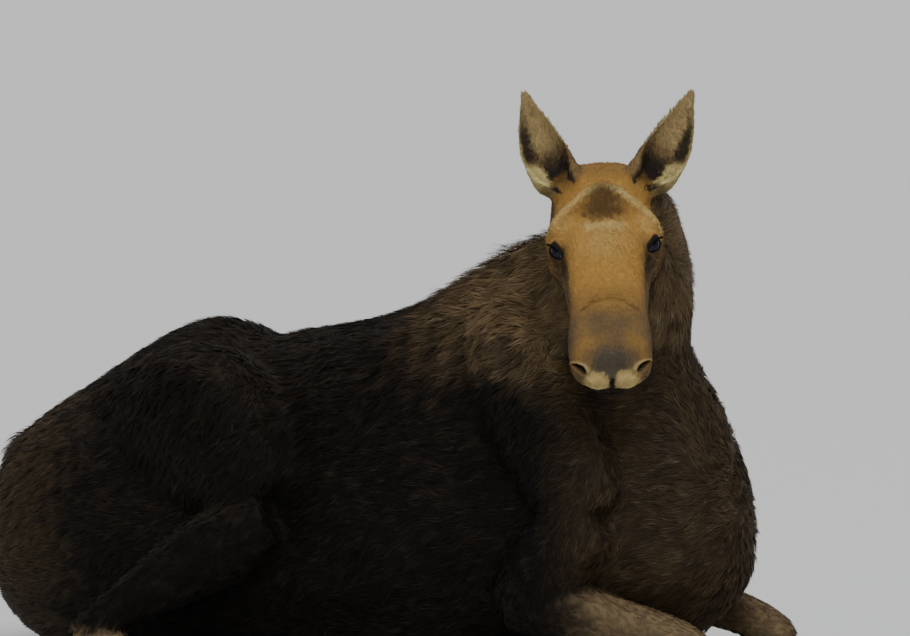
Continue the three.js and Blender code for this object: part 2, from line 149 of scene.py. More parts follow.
def make_object(name, points, triangles, material, colours=None, values=None, uv=None, smooth=True):
    """A mesh object from arrays: colours and values become point attributes, uv becomes the map OFBake."""
    mesh = bpy.data.meshes.new(name)
    mesh.vertices.add(len(points))
    mesh.vertices.foreach_set("co", np.ascontiguousarray(points, dtype=np.float32).ravel())
    mesh.loops.add(len(triangles) * 3)
    mesh.loops.foreach_set("vertex_index", np.ascontiguousarray(triangles, dtype=np.int32).ravel())
    mesh.polygons.add(len(triangles))
    mesh.polygons.foreach_set("loop_start", np.arange(0, len(triangles) * 3, 3, dtype=np.int32))
    mesh.update(calc_edges=True)
    mesh.shade_smooth() if smooth else mesh.shade_flat()
    for key, data in (colours or {}).items():
        layer = mesh.attributes.new(key, "FLOAT_COLOR", "POINT")
        layer.data.foreach_set("color", np.ascontiguousarray(data, dtype=np.float32).ravel())
    for key, data in (values or {}).items():
        layer = mesh.attributes.new(key, "FLOAT", "POINT")
        layer.data.foreach_set("value", np.ascontiguousarray(data, dtype=np.float32).ravel())
    if uv is not None:
        layer = mesh.uv_layers.new(name="OFBake")
        layer.data.foreach_set("uv", np.ascontiguousarray(uv[triangles.ravel()], dtype=np.float32).ravel())
    mesh.materials.append(material)
    obj = bpy.data.objects.new(name, mesh)
    bpy.context.scene.collection.objects.link(obj)
    return obj


def neighbours(triangles):
    edges = np.concatenate((triangles[:, (0, 1)], triangles[:, (1, 2)], triangles[:, (2, 0)]))
    edges.sort(axis=1)
    return np.unique(edges, axis=0)


def blur(values, edges, times, weight=None):
    """Moves each value towards the mean of its neighbours', as often as asked, by at most its weight."""
    count = len(values)
    flat = values.reshape(count, -1).astype(float)
    a, b = edges[:, 0], edges[:, 1]
    degree = np.maximum(np.bincount(a, minlength=count) + np.bincount(b, minlength=count), 1)
    share = 0.6 if weight is None else 0.6 * weight[:, None]
    for _ in range(times):
        sums = np.stack([
            np.bincount(a, flat[b, k], count) + np.bincount(b, flat[a, k], count) for k in range(flat.shape[1])
        ], axis=1)
        flat = flat + (sums / degree[:, None] - flat) * share
    return flat.reshape(values.shape)


def normals_of(points, triangles):
    corners = points[triangles]
    faces = np.cross(corners[:, 1] - corners[:, 0], corners[:, 2] - corners[:, 0])
    normals = np.zeros_like(points)
    for k in range(3):
        for axis in range(3):
            normals[:, axis] += np.bincount(triangles[:, k], faces[:, axis], len(points))
    return unit(normals)


def largest_shell(points, triangles):
    """Keeps the shell with the most corners, and drops bubbles left inside it."""
    label = np.arange(len(points))
    edges = neighbours(triangles)
    while True:
        low = np.minimum(label[edges[:, 0]], label[edges[:, 1]])
        new = label.copy()
        np.minimum.at(new, edges[:, 0], low)
        np.minimum.at(new, edges[:, 1], low)
        new = new[new]
        if np.array_equal(new, label):
            break
        label = new
    keep = label == np.bincount(label).argmax()
    index = np.cumsum(keep) - 1
    return points[keep], index[triangles[keep[triangles[:, 0]]]]


def through_modifier(points, triangles, kind, group=None, **settings):
    """The mesh after one modifier, as arrays again."""
    mesh = bpy.data.meshes.new("work")
    mesh.from_pydata(points.tolist(), [], triangles.tolist())
    obj = bpy.data.objects.new("work", mesh)
    bpy.context.scene.collection.objects.link(obj)
    modifier = obj.modifiers.new("work", kind)
    for key, value in settings.items():
        setattr(modifier, key, value)
    if group is not None:
        weights = obj.vertex_groups.new(name="weights")
        for value in np.unique(group):
            weights.add(np.nonzero(group == value)[0].tolist(), float(value), "REPLACE")
        modifier.vertex_group = "weights"
    evaluated = obj.evaluated_get(bpy.context.evaluated_depsgraph_get())
    result = read_mesh(evaluated.to_mesh())
    evaluated.to_mesh_clear()
    bpy.data.objects.remove(obj)
    bpy.data.meshes.remove(mesh)
    return result


# ---------------------------------------------------------------- the lie of the coat, by body part
# hair length and coat depth in millimetres, lift from the skin in degrees, and the way the hair points

LIE_OF_COAT = {
    "head": (10.0, 2.5, 8.0, -HEAD_AXES[0]),
    "lower_jaw": (16.0, 3.5, 18.0, -HEAD_AXES[0] - 0.3 * HEAD_AXES[2]),
    "ear": (9.0, 2.0, 12.0, -0.8 * HEAD_AXES[0] + 0.5 * HEAD_AXES[2]),
    "neck": (40.0, 9.0, 15.0, (-0.9, 0.1, -0.5)),
    "bell": (60.0, 8.0, 10.0, (0.0, 0.0, -1.0)),
    "trunk": (34.0, 8.0, 13.0, (-1.0, 0.0, -0.38)),
    "tail": (45.0, 7.0, 20.0, (-0.3, 0.0, -1.0)),
    "shoulder": (32.0, 8.0, 13.0, (-0.75, 0.0, -0.65)),
    "upper_arm": (28.0, 7.0, 13.0, (-0.8, 0.0, -0.6)),
    "thigh": (33.0, 8.0, 13.0, (-0.6, 0.0, -0.8)),
    "shank": (24.0, 5.0, 13.0, (-0.85, 0.0, -0.5)),
    "forearm": (18.0, 4.0, 9.0, (1.0, 0.0, -0.2)),
    "fore_cannon": (11.0, 2.5, 9.0, (-1.0, 0.0, 0.0)),
    "hind_cannon": (11.0, 2.5, 9.0, (1.0, 0.0, 0.0)),
}
PARTS = list(LIE_OF_COAT)


def part_of(node):
    return next((k for k, part in enumerate(PARTS) if node == part or node.startswith(part + "_")), None)


def flesh_nodes():
    return [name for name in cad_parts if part_of(name) is not None]


def joined_flesh():
    """All flesh nodes as one set of shells: the corners grown a little so that the shells meet, the corners as
    packed, the triangles and each triangle's part."""
    points, packed, triangles, parts, start = [], [], [], [], 0
    for name in flesh_nodes():
        mesh = bmesh.new()
        mesh.from_mesh(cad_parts[name].data)
        bmesh.ops.remove_doubles(mesh, verts=mesh.verts, dist=1e-5)
        mesh.normal_update()
        grow = (4.0 if name.startswith("ear") else 1.2) * MM
        points += [v.co + v.normal * grow for v in mesh.verts]
        packed += [v.co.copy() for v in mesh.verts]
        mesh.verts.index_update()
        faces = [[start + v.index for v in f.verts] for f in mesh.faces]
        triangles += faces
        parts += [part_of(name)] * len(faces)
        start = len(points)
        mesh.free()
    return {"grown": np.array(points), "packed": np.array(packed), "triangles": np.array(triangles),
            "parts": np.array(parts)}


def nearest_part(points, flesh):
    tree = BVHTree.FromPolygons(flesh["packed"].tolist(), flesh["triangles"].tolist())
    return np.array([flesh["parts"][tree.find_nearest(Vector(p))[2]] for p in points])


def snap_ears(points, part, flesh):
    """Moves the ears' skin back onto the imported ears, whose thin sheets the remeshing wears down."""
    ear, head = PARTS.index("ear"), [PARTS.index("head"), PARTS.index("neck")]
    vertices = flesh["packed"].tolist()
    sheet = BVHTree.FromPolygons(vertices, flesh["triangles"][flesh["parts"] == ear].tolist())
    skull = BVHTree.FromPolygons(vertices, flesh["triangles"][np.isin(flesh["parts"], head)].tolist())
    above_root = ear_share(points)
    for k in np.nonzero((part == ear) & (above_root > 0.0))[0]:
        place = Vector(points[k])
        on_sheet = sheet.find_nearest(place)
        clear = ramp(0.002, 0.016, skull.find_nearest(place)[3]) * above_root[k]
        if on_sheet[3] < 0.012:
            points[k] += (np.array(on_sheet[0]) - points[k]) * clear
    return points


def head_share(points):
    """1 on the head and its ears, 0 from a hand's breadth down the neck."""
    own = to_head(points)
    skull = ramp(-0.10, -0.01, own[:, 0]) * ramp(-0.25, -0.16, own[:, 2]) * ramp(0.2, 0.32, points[:, 2])
    return np.maximum(skull, ear_share(points))


def ear_share(points):
    """1 on the ears from a little above their roots."""
    reach, lateral, off, _ = ear_place(to_head(points))
    return ramp(0.16, 0.26, reach) * ramp(2.0, 1.5, np.abs(lateral)) * ramp(0.085, 0.065, np.abs(off))


# ---------------------------------------------------------------- the skin

def body_skin(flesh):
    points, triangles = through_modifier(flesh["grown"], flesh["triangles"], "REMESH", mode="VOXEL", voxel_size=VOXEL)
    points, triangles = largest_shell(points, triangles)
    edges = neighbours(triangles)
    head = head_share(points)
    ear = ear_share(points)
    slim = in_parts(nearest_part(points, flesh), "forearm", "fore_cannon", "hind_cannon", "shank")
    slim = blur(slim.astype(float), edges, 12)
    points = blur(points, edges, EAR_SMOOTHING)
    points = blur(points, edges, HEAD_SMOOTHING, 1.0 - ear)
    points = blur(points, edges, BODY_SMOOTHING, (1.0 - head) * (1.0 - 0.8 * slim))
    # the head and ears keep every triangle, the body is thinned to the number asked for
    body = np.where(head_share(points) > 0.5, 0.0, 1.0)
    kept = (body[triangles].max(axis=1) == 0).sum()
    ratio = (kept + BODY_TRIANGLES) / len(triangles)
    return through_modifier(points, triangles, "DECIMATE", group=body, ratio=ratio, vertex_group_factor=40.0)


def refined(points, triangles, wanted):
    """Splits each triangle of which a corner is wanted into four, with its neighbours made to match."""
    mesh = bmesh.new()
    verts = [mesh.verts.new(p) for p in points]
    mesh.verts.index_update()
    for a, b, c in triangles:
        mesh.faces.new((verts[a], verts[b], verts[c]))
    mesh.verts.ensure_lookup_table()
    edges = [e for e in mesh.edges if wanted[e.verts[0].index] or wanted[e.verts[1].index]]
    bmesh.ops.subdivide_edges(mesh, edges=edges, cuts=1, use_grid_fill=True, smooth=0.6)
    bmesh.ops.triangulate(mesh, faces=mesh.faces)
    done = bpy.data.meshes.new("refined")
    mesh.to_mesh(done)
    mesh.free()
    result = read_mesh(done)
    bpy.data.meshes.remove(done)
    return result


def wants_detail(points):
    """Where the skin needs a fine mesh: the nose, lips and nostrils, and round the eyes."""
    own = to_head(points)
    on_head = head_share(points) > 0.5
    nose = (own[:, 0] > 0.395) & (own[:, 2] > -0.045) & (np.abs(own[:, 1]) < 0.12)
    eyes = np.linalg.norm(eye_distance(own), axis=1) < 0.06
    return (nose | eyes) & on_head


def nostril_place(own):
    """Along and across each nostril's slit, in units of its half-length and half-width, and the way it faces."""
    side = np.where(own[:, 1] < 0, -1.0, 1.0)
    flip = np.stack((np.ones(len(own)), side, np.ones(len(own))), axis=1)
    slit, facing = unit(NOSTRIL_SLIT), unit(NOSTRIL_FACES)
    facing = unit(facing - slit * np.dot(slit, facing))
    across = np.cross(slit, facing)
    across = across if across[2] > 0 else -across
    away = own * flip - NOSTRIL_AT
    along = away @ slit / 0.0175
    beside = away @ across / 0.0068
    beside = (beside - 0.55 * (1.0 - along ** 2) + 0.25) / np.clip(0.85 + 0.35 * along, 0.5, 1.2)
    return along, beside, facing * flip


def orbit_swell(points, own):
    """Raises the skin round each eye to a low dome, so that the ball sits in a socket and not on a stalk."""
    for side in (1, -1):
        gaze = unit(GAZE * (1.0, side, 1.0))
        centre = EYE_PLACES[side] - gaze * 0.015
        away = own - centre
        height = away @ gaze
        reach = np.linalg.norm(away - height[:, None] * gaze, axis=1)
        near = (reach < 0.075) & (np.abs(height) < 0.07)
        radius = 0.036
        dome = np.sqrt(np.maximum(radius ** 2 - reach ** 2, 0.0)) - 0.004
        dome = np.where(reach < radius, dome, -0.004 - (reach - radius) * 1.2)
        soft = 0.006
        raised = soft * np.logaddexp(height / soft, dome / soft)
        points = points + np.where(near, np.minimum(raised - height, 0.03), 0.0)[:, None] * (gaze @ HEAD_AXES)
    return points


def sculpt_head(points, triangles):
    """Ridges, hollows, folds, nostrils and lips, moved out or in along the skin's own normals."""
    on_head = (head_share(points) > 0.6)[:, None]
    points = np.where(on_head, orbit_swell(points, to_head(points)), points)
    own = to_head(points)
    x, y, z = own.T
    wide = np.abs(y)
    out = normals_of(points, triangles)
    top = ramp(0.02, 0.06, z)
    height = np.zeros(len(points))
    # the brow: a ridge from the middle of the forehead out to each eye, hollow behind it
    line = brow_line(x, wide)
    height += 4.5 * MM * bump(line, 0.0, 0.010) * ramp(0.100, 0.125, x) * ramp(0.24, 0.215, x) * ramp(0.0, 0.04, z)
    height -= 9.0 * MM * ramp(0.006, 0.030, line) * ramp(0.07, 0.11, x) * ramp(0.0, 0.03, z)
    height -= 3.0 * MM * bump(wide, 0.0, 0.04) * bump(x, 0.21, 0.03) * top
    height += 4.0 * MM * bump(wide, 0.0, 0.03) * bump(x, 0.13, 0.03) * top
    height += 4.5 * MM * bump(x, 0.222, 0.016) * bump(wide, 0.102, 0.018) * bump(z, 0.080, 0.018)
    # a hollow in front of each eye, running down beside the nose, and the crest over the cheek
    height -= 5.0 * MM * bump(x, 0.300, 0.030) * bump(z, 0.030, 0.018) * ramp(0.05, 0.08, wide)
    height += 6.0 * MM * bump(x, 0.20, 0.07) * bump(z, -0.055, 0.05) * ramp(0.06, 0.09, wide)
    height += 3.0 * MM * bump(z, -0.006 + (x - 0.3) * 0.1, 0.014) * ramp(0.27, 0.31, x) * ramp(0.45, 0.38, x)
    # the flat of the nose has an edge down each side
    height += 2.5 * MM * bump(z, 0.050, 0.016) * bump(wide, 0.082, 0.02) * ramp(0.28, 0.32, x) * ramp(0.44, 0.38, x)
    # folds across the nose, where the bridge meets the soft muzzle
    bend = x - 3.0 * wide ** 2 + 0.0015 * ripple(points, 0.03, 21)
    across = ramp(0.055, 0.035, wide) * top
    for place, deep, breadth in ((0.409, 1.2, 0.0030), (0.421, 2.0, 0.0035), (0.433, 2.6, 0.0036), (0.446, 3.6, 0.0042)):
        height -= deep * MM * bump(bend, place, breadth) * across
        height += 0.8 * deep * MM * bump(bend, place - 0.0065, breadth) * across
    height += 2.0 * MM * bump(bend, 0.456, 0.006) * across
    mark = np.sqrt(((x - 0.461 - 0.35 * (wide - 0.051)) / 0.0055) ** 2 + ((wide - 0.051) / 0.014) ** 2)
    height -= 3.2 * MM * np.exp(-mark ** 2) * top
    for place in (0.482, 0.497, 0.510):
        height -= 0.7 * MM * bump(bend, place, 0.003) * ramp(0.035, 0.015, wide) * top
    # the muzzle's wings over the nostrils, and the dip between them
    height += 4.5 * MM * bump(x, 0.552, 0.026) * bump(wide, 0.066, 0.022) * top
    height -= 3.0 * MM * bump(x, 0.555, 0.03) * bump(wide, 0.0, 0.022) * top
    height += 3.5 * MM * bump(x, 0.50, 0.045) * bump(wide, 0.078, 0.03) * ramp(-0.02, 0.03, z)
    # the upper lip's two lobes, parted by the philtrum, under the pad of the nose
    front = ramp(0.575, 0.598, x + 0.25 * np.maximum(-z, 0.0))
    lobe = np.sqrt(((wide - 0.031) / 0.025) ** 2 + ((z - 0.009) / 0.021) ** 2)
    height += 6.5 * MM * front * ramp(1.25, 0.35, lobe)
    height -= 2.0 * MM * front * bump(z, 0.036, 0.008) * ramp(0.05, 0.03, wide)
    height -= 6.5 * MM * front * bump(y, 0.0, 0.0042) * ramp(0.026, 0.004, z) * ramp(-0.03, -0.012, z)
    height -= 5.0 * MM * bump(z, -0.062 + 0.12 * (x - 0.42), 0.006) * ramp(0.40, 0.44, x) * ramp(0.58, 0.55, x)
    # nostrils: a raised rim, then a deep comma
    along, beside, facing = nostril_place(own)
    radius = np.sqrt(along ** 2 + beside ** 2)
    near = (x > 0.545) & (z > -0.02) & (wide > 0.03)
    height += 2.6 * MM * bump(radius, 1.5, 0.42) * near
    moved = points + out * (height * (head_share(points) > 0.6))[:, None]
    depth = 19.0 * MM * ramp(1.15, 0.70, radius) * near
    return moved - (facing @ HEAD_AXES) * depth[:, None]


def brow_line(x, wide):
    """How far behind the ridge of the brow a place lies: below 0 on the front of the face."""
    ridge = np.interp(wide, (0.0, 0.024, 0.04, 0.06, 0.08, 0.10, 0.118), (0.113, 0.128, 0.139, 0.160, 0.182, 0.199, 0.215))
    return (ridge - x) * 0.8


def eye_frame(side):
    """The eye's centre, the way it looks, the line of its slit and the way its upper lid lies, on the head's axes."""
    mirror = np.array((1.0, side, 1.0))
    gaze = unit(GAZE * mirror)
    slit = unit(EYE_SLIT * mirror - gaze * np.dot(gaze, EYE_SLIT * mirror))
    up = np.cross(gaze, slit)
    return EYE_PLACES[side], gaze, slit, up if up[2] > 0 else -up


def lid_patch(side, tree):
    """Both lids of one eye: a sheet that hugs the ball round an almond slit and runs out into the face."""
    centre, gaze, slit, up = eye_frame(side)
    rounds, rows = 80, 20
    angles = np.linspace(0.0, 2.0 * math.pi, rounds, endpoint=False)
    high = np.sin(angles) > 0
    rings = []
    for row in range(rows):
        share = row / (rows - 1)
        reach = 0.55 * ramp(0.0, 1.0, share) + 0.45 * share
        tall = np.where(high, mix(9.5 * MM, 33.0 * MM, reach), mix(11.5 * MM, 31.0 * MM, reach))
        long = mix(18.5 * MM, 35.0 * MM, reach)
        pinch = mix(1.3, 1.0, ramp(0.0, 0.4, share))
        across = np.cos(angles) * long
        rise = np.sign(np.sin(angles)) * np.abs(np.sin(angles)) ** pinch * tall
        flat = across[:, None] * slit + rise[:, None] * up
        distance = np.linalg.norm(flat, axis=1)
        thick = mix(0.5, 3.0, ramp(0.0, 0.10, share)) * MM
        thick = thick - np.where(high, 1.8, 1.1) * MM * bump(share, 0.34, 0.07) + 1.2 * MM * bump(share, 0.5, 0.1) * high
        shell = EYE_RADIUS + thick
        ball = np.where(distance < shell * 0.98, np.sqrt(np.maximum(shell ** 2 - distance ** 2, 0.0)), -0.01)
        start = from_head(centre + flat + gaze * 0.07)
        skin = np.full(rounds, -0.02)
        for k in range(rounds):
            hit = tree.ray_cast(Vector(start[k]), Vector(-(gaze @ HEAD_AXES)), 0.12)
            if hit[0] is not None:
                skin[k] = 0.07 - hit[3]
        soft = 0.0016
        level = soft * np.logaddexp(ball / soft, (skin - 0.0004) / soft)
        level = mix(ball, level, ramp(0.25, 0.5, share))
        level = level - 1.6 * MM * ramp(0.9, 1.0, share) - (3.5 * MM if row == 0 else 0.0)
        rings.append(from_head(centre + flat + gaze * level[:, None]))
    points = np.concatenate(rings)
    grid = np.arange(rows * rounds).reshape(rows, rounds)
    a, b = grid[:-1], grid[1:]
    quads = np.stack((a, np.roll(a, -1, 1), np.roll(b, -1, 1), b), axis=-1).reshape(-1, 4)
    triangles = np.concatenate((quads[:, (0, 1, 2)], quads[:, (0, 2, 3)]))
    first = points[triangles[0]]
    if np.dot(np.cross(first[1] - first[0], first[2] - first[0]), gaze @ HEAD_AXES) < 0:
        triangles = triangles[:, ::-1]
    shares = np.repeat(np.arange(rows) / (rows - 1), rounds)
    return points, triangles, shares


def eye_distance(own):
    """From the nearer eye's centre, as if every place were on the left."""
    left = own[:, 1:2] > 0
    away = own - np.where(left, EYE_PLACES[1], EYE_PLACES[-1])
    return np.where(left, away, away * (1.0, -1.0, 1.0))


def ear_place(own):
    """For places on the ears: share of the length, share of the half-width (outwards), the distance out of the
    ear's middle plane, and the way it opens."""
    side = np.where(own[:, 1] < 0, -1, 1)
    reach, lateral, off = (np.zeros(len(own)) for _ in range(3))
    opens = np.zeros_like(own)
    for one in (1, -1):
        mirror = np.array((1.0, one, 1.0))
        up = unit((-0.78, EAR_LEANS[one], 0.49))
        facing = np.array((0.72, 0.1, 0.68))
        facing = unit(facing - up * np.dot(facing, up))
        across = np.cross(up, facing)
        mine = side == one
        away = own[mine] * mirror - EAR_ROOTS[one]
        share = away @ up / EAR_LENGTH
        bow = np.interp(share, EAR_SHARES, EAR_BOWS)
        reach[mine] = share
        lateral[mine] = (away @ across - bow) / np.interp(share, EAR_SHARES, EAR_WIDTHS)
        off[mine] = away @ facing
        opens[mine] = facing * mirror
    return reach, lateral, off, opens


# ---------------------------------------------------------------- markings
# tan, cream, black and grey shares, and how brown the dark coat is

def face_marks(own, fine, soft):
    """Tan, cream, black, grey and brown shares on the head."""
    x, y, z = own.T
    wide = np.abs(y)
    top = ramp(0.0, 0.05, z)
    # the front of the face is tan, the cheeks and jaw are brown
    edge = np.interp(x, (0.0, 0.20, 0.24, 0.28, 0.36, 0.46, 0.54, 0.62), (0.03, 0.02, 0.052, 0.050, 0.038, 0.026, 0.0, -0.01))
    tan = ramp(edge - 0.022, edge + 0.010, z + 0.004 * fine + 0.003 * soft)
    tan = np.maximum(tan, 0.38 + 0.1 * soft) * ramp(-0.05, 0.02, x + 0.01 * fine)
    tan = tan * (1.0 - 0.34 * ramp(0.36, 0.44, x)) * (1.0 - 0.16 * ramp(0.12, 0.04, x) * top)
    tan = tan * (1.0 - 0.55 * ramp(0.060, 0.092, wide) * ramp(0.235, 0.27, x))
    # the back of the cheek and the jaw fade into the neck
    rear = ramp(0.24, 0.03, x + 0.015 * soft) * ramp(0.055, -0.015, z)
    tan = tan * (1.0 - 0.9 * rear)
    brown = mix(0.35, 0.72, rear)
    # a grey-brown muzzle with a tan spot over each nostril
    muzzle = ramp(0.435, 0.515, x + 0.005 * fine)
    spot = np.exp(-((x - 0.556) / 0.017) ** 2 - ((wide - 0.048) / 0.019) ** 2)
    wing = np.exp(-((x - 0.575) / 0.02) ** 2 - ((wide - 0.078) / 0.02) ** 2)
    tan = tan * (1.0 - muzzle * (0.72 - 0.50 * np.clip(spot + 1.4 * wing, 0, 1) + 0.08 * soft))
    grey = 0.24 * muzzle * (1.0 - 0.6 * np.clip(spot + wing, 0, 1))
    # the forehead: a dark patch with ragged edges, cream along the brow and in a band below it
    line = brow_line(x, wide)
    reach = np.interp(x, (0.10, 0.13, 0.17, 0.21, 0.23), (0.014, 0.028, 0.040, 0.050, 0.044))
    patch = ramp(reach + 0.016, reach - 0.022, wide + 0.007 * fine) * ramp(0.090, 0.135, x + 0.010 * fine) \
        * ramp(0.230, 0.202, x + 0.010 * fine + 1.2 * wide ** 2) * top
    ridge = bump(line, -0.001, 0.0115) * ramp(0.108, 0.13, x) * ramp(0.235, 0.205, x) * ramp(0.0, 0.04, z)
    band = bump(x, 0.232, 0.013) * ramp(0.058, 0.028, wide) * top
    cream = np.clip((0.50 + 0.10 * soft) * ridge + 0.48 * band, 0.0, 1.0)
    cream = np.maximum(cream, 0.22 * bump(x, 0.27, 0.04) * bump(wide, 0.0, 0.045) * top)
    cream = np.maximum(cream, 0.20 * bump(x, 0.222, 0.018) * bump(wide, 0.090, 0.02) * top)
    # darker between the patch and the brow ridge: partly the patch's colour fading out, partly painted shade in the
    # hollow there
    hollow = ramp(-0.002, -0.016, line) * ramp(0.222, 0.190, x) * ramp(0.100, 0.055, wide) * top
    black = 1.0 - (1.0 - 0.68 * patch) * (1.0 - 0.28 * hollow) * (1.0 - 0.14 * ramp(0.10, 0.05, x) * top)
    grey = np.maximum(grey, 0.40 * np.maximum(patch, 0.6 * ramp(0.12, 0.04, x) * top))
    # painted fold shadows of the nose, the marks beside them, and the eye's dark lids and tear line
    bend = x - 3.0 * wide ** 2
    folds = sum(bump(bend, place, 0.0034) * deep for place, deep in ((0.421, 0.3), (0.433, 0.45), (0.446, 0.7)))
    fold_shadow = folds * ramp(0.055, 0.03, wide) * top
    mark = np.exp(-((x - 0.461 - 0.35 * (wide - 0.051)) / 0.006) ** 2 - ((wide - 0.051) / 0.013) ** 2) * top
    black = np.maximum(black, 0.55 * mark)
    black = np.maximum(black, 0.35 * fold_shadow)
    away = eye_distance(own)
    _, gaze, slit, up = eye_frame(1)
    along, over = away @ slit, away @ up
    around = np.sqrt((along / 0.0220) ** 2 + (over / np.where(over > 0, 0.0165 + 0.2 * np.maximum(along, 0), 0.0135)) ** 2)
    near_eye = np.linalg.norm(away, axis=1) < 0.05
    black = np.maximum(black, near_eye * ramp(1.22, 0.92, around))
    tear = np.exp(-((wide - 0.089) / 0.006) ** 2) * ramp(0.26, 0.272, x) * ramp(0.335, 0.29, x) * ramp(0.0, 0.02, z)
    black = np.maximum(black, 0.75 * tear)
    # painted shade in the hollow below and in front of each eye
    below = bump(x, 0.285, 0.032) * bump(z, 0.022, 0.022) * ramp(0.08, 0.095, wide)
    black = np.maximum(black, 0.45 * below)
    # the pad of the nose, the philtrum, the lip's cream lobes and the dark chin
    pad = np.interp(x, (0.560, 0.585, 0.60, 0.62), (0.018, 0.032, 0.036, 0.030))
    pad = ramp(pad + 0.012, pad - 0.008, wide + 0.003 * fine) * ramp(0.560, 0.586, x + 0.004 * fine) * ramp(0.014, 0.024, z)
    stripe = 0.22 * bump(wide, 0.0, 0.018) * ramp(0.50, 0.54, x) * top
    lobe = np.sqrt(((wide - 0.032) / 0.027) ** 2 + ((z - 0.008) / 0.0235) ** 2)
    lips = ramp(1.30, 0.72, lobe + 0.10 * fine) * (x > 0.575)
    grey = np.maximum(grey, np.maximum(pad, stripe))
    tan = tan * (1.0 - 0.95 * pad) * (1.0 - 0.8 * stripe)
    grey = np.where(lips > 0.4, 0.0, grey)
    black = np.maximum(black, np.maximum(0.60 * pad, 0.35 * stripe))
    black = np.maximum(black, ramp(0.0075, 0.004, wide) * (x > 0.59) * ramp(0.026, 0.016, z) * (z > -0.03))
    slit_along, beside, _ = nostril_place(own)
    hole = np.sqrt(slit_along ** 2 + beside ** 2)
    by_nose = (x > 0.545) & (wide > 0.03) & (z > -0.02)
    # painted highlight on the upper rim of each nostril
    cream = np.maximum(cream, 0.45 * bump(hole, 1.75, 0.3) * by_nose * (beside > 0))
    cream = np.maximum(cream * ramp(1.0, 1.3, lobe), lips * (0.52 + 0.4 * ramp(0.012, -0.010, z)))
    tan = np.maximum(tan, 0.7 * lips)
    black = np.where(lips > 0.3, black * 0.2 * (wide > 0.008) + black * (wide <= 0.008), black)
    black = np.maximum(black, by_nose * ramp(1.22, 0.90, hole))
    below_lip = ramp(-0.012, -0.022, z) * ramp(0.50, 0.56, x)
    black = np.maximum(black, 0.85 * below_lip)
    return tan, cream, black, grey, brown


def ear_marks(own, normals, fine):
    """Grey-brown and streaked inside, nearly black down the outer side and at the root, with a pale rim."""
    reach, lateral, _, opens = ear_place(own)
    inside = ramp(-0.1, 0.35, dot(normals, opens @ HEAD_AXES))
    rim = ramp(0.86, 0.97, np.abs(lateral) + 0.03 * fine) * ramp(1.02, 0.9, reach)
    streak = 0.5 + 0.5 * np.sin(lateral * 9.0 + 3.0 * fine)
    tan = inside * (0.26 + 0.18 * streak) + (1.0 - inside) * 0.32
    outer = ramp(0.30, 0.62, lateral + 0.10 * fine) * ramp(0.93, 0.55, reach)
    root = ramp(0.44, 0.12, reach + 0.04 * fine) * ramp(-1.10, -0.60, lateral)
    black = np.clip(inside * np.maximum(outer * 0.92, root * 0.96), 0.0, 1.0)
    black = np.maximum(black, (1.0 - inside) * 0.30)
    cream = 0.5 * rim * inside * np.where(lateral < 0, ramp(0.2, 0.5, reach), 1.0)
    cream = np.maximum(cream, (0.16 + 0.14 * streak) * inside * ramp(0.2, 0.45, reach))
    patch = ramp(-0.14, -0.04, reach) * ramp(0.25, 0.10, reach - 0.10 * lateral) * ramp(0.30, 0.56, lateral + 0.08 * fine)
    cream = np.maximum(cream, patch * 0.95)
    black = black * (1.0 - 0.95 * np.maximum(patch, rim * 0.8))
    grey = 0.75 * (1.0 - 0.8 * patch)
    return tan, cream, black, grey


def markings(points, normals, part, leg):
    """Each place's tan, cream, black and grey shares, and how brown the dark coat is there; leg is 1 on the
    cannons and fades out up the limbs."""
    own = to_head(points)
    is_head = in_parts(part, "head", "lower_jaw")
    is_ear = in_parts(part, "ear")
    fine = ripple(points, 0.011, 3, 9) * 0.6
    soft = ripple(points, 0.05, 4)
    colour = np.zeros((len(points), 4))
    # dusty back with a painted sheen on its upward-facing coat, pale legs
    pale = ramp(0.15, 0.85, leg + 0.06 * soft)
    colour[:, 3] = 0.85 * pale
    colour[:, 0] = 0.16 * pale
    # grey on the upward-facing coat towards the rump: dust, and a painted sheen of the light from above
    dust_and_top_sheen = 0.10 * ramp(0.4, 0.95, normals[:, 2]) * ramp(0.35, -0.3, points[:, 0])
    colour[:, 3] = np.maximum(colour[:, 3], dust_and_top_sheen)
    # a brown mane, shoulder hump and breast, and a rusty rump
    neck = np.maximum(in_parts(part, "neck", "bell"), ramp(0.40, 0.58, points[:, 0]))
    neck = neck * ramp(0.62, 0.95, points[:, 2])
    front = ramp(0.06, 0.40, points[:, 0] - 0.25 * points[:, 1]) * ramp(0.62, 0.80, points[:, 2] + 0.015 * soft)
    breast = ramp(0.52, 0.72, points[:, 0]) * ramp(0.95, 0.6, points[:, 2]) * ramp(-0.30, 0.1, points[:, 1] + 0.3)
    rump = ramp(-0.55, -0.78, points[:, 0] + 0.06 * soft)
    crest = ramp(0.15, 0.35, points[:, 0]) * ramp(0.2, 0.8, normals[:, 2]) * ramp(0.50, 0.70, points[:, 2])
    brown = 0.02 + 0.02 * np.maximum(soft, 0.0)
    for share, amount in ((neck, 0.75), (front, 0.85), (breast, 0.34), (rump, 0.30), (crest, 0.7)):
        brown = np.maximum(brown, amount * share * (0.85 + 0.15 * soft))
    tan, cream, black, grey, face_brown = face_marks(own, fine, soft)
    reach, lateral, off, _ = ear_place(own)
    by_ear = ramp(-0.05, 0.05, reach) * ramp(1.1, 0.75, np.abs(lateral + 0.15)) * ramp(0.10, 0.07, np.abs(off))
    under_ear = ramp(-0.30, -0.05, reach) * ramp(1.5, 0.6, np.abs(lateral)) * ramp(0.12, 0.06, np.abs(off))
    black = np.maximum(black, np.maximum(0.90 * by_ear, 0.62 * under_ear))
    colour[is_head] = np.stack((tan, cream, black, grey), axis=1)[is_head]
    colour[is_ear] = np.stack(ear_marks(own, normals, fine), axis=1)[is_ear]
    brown = np.where(is_head | is_ear, face_brown, brown)
    return np.clip(colour, 0.0, 1.0), np.clip(brown, 0.0, 1.0)


# ---------------------------------------------------------------- materials

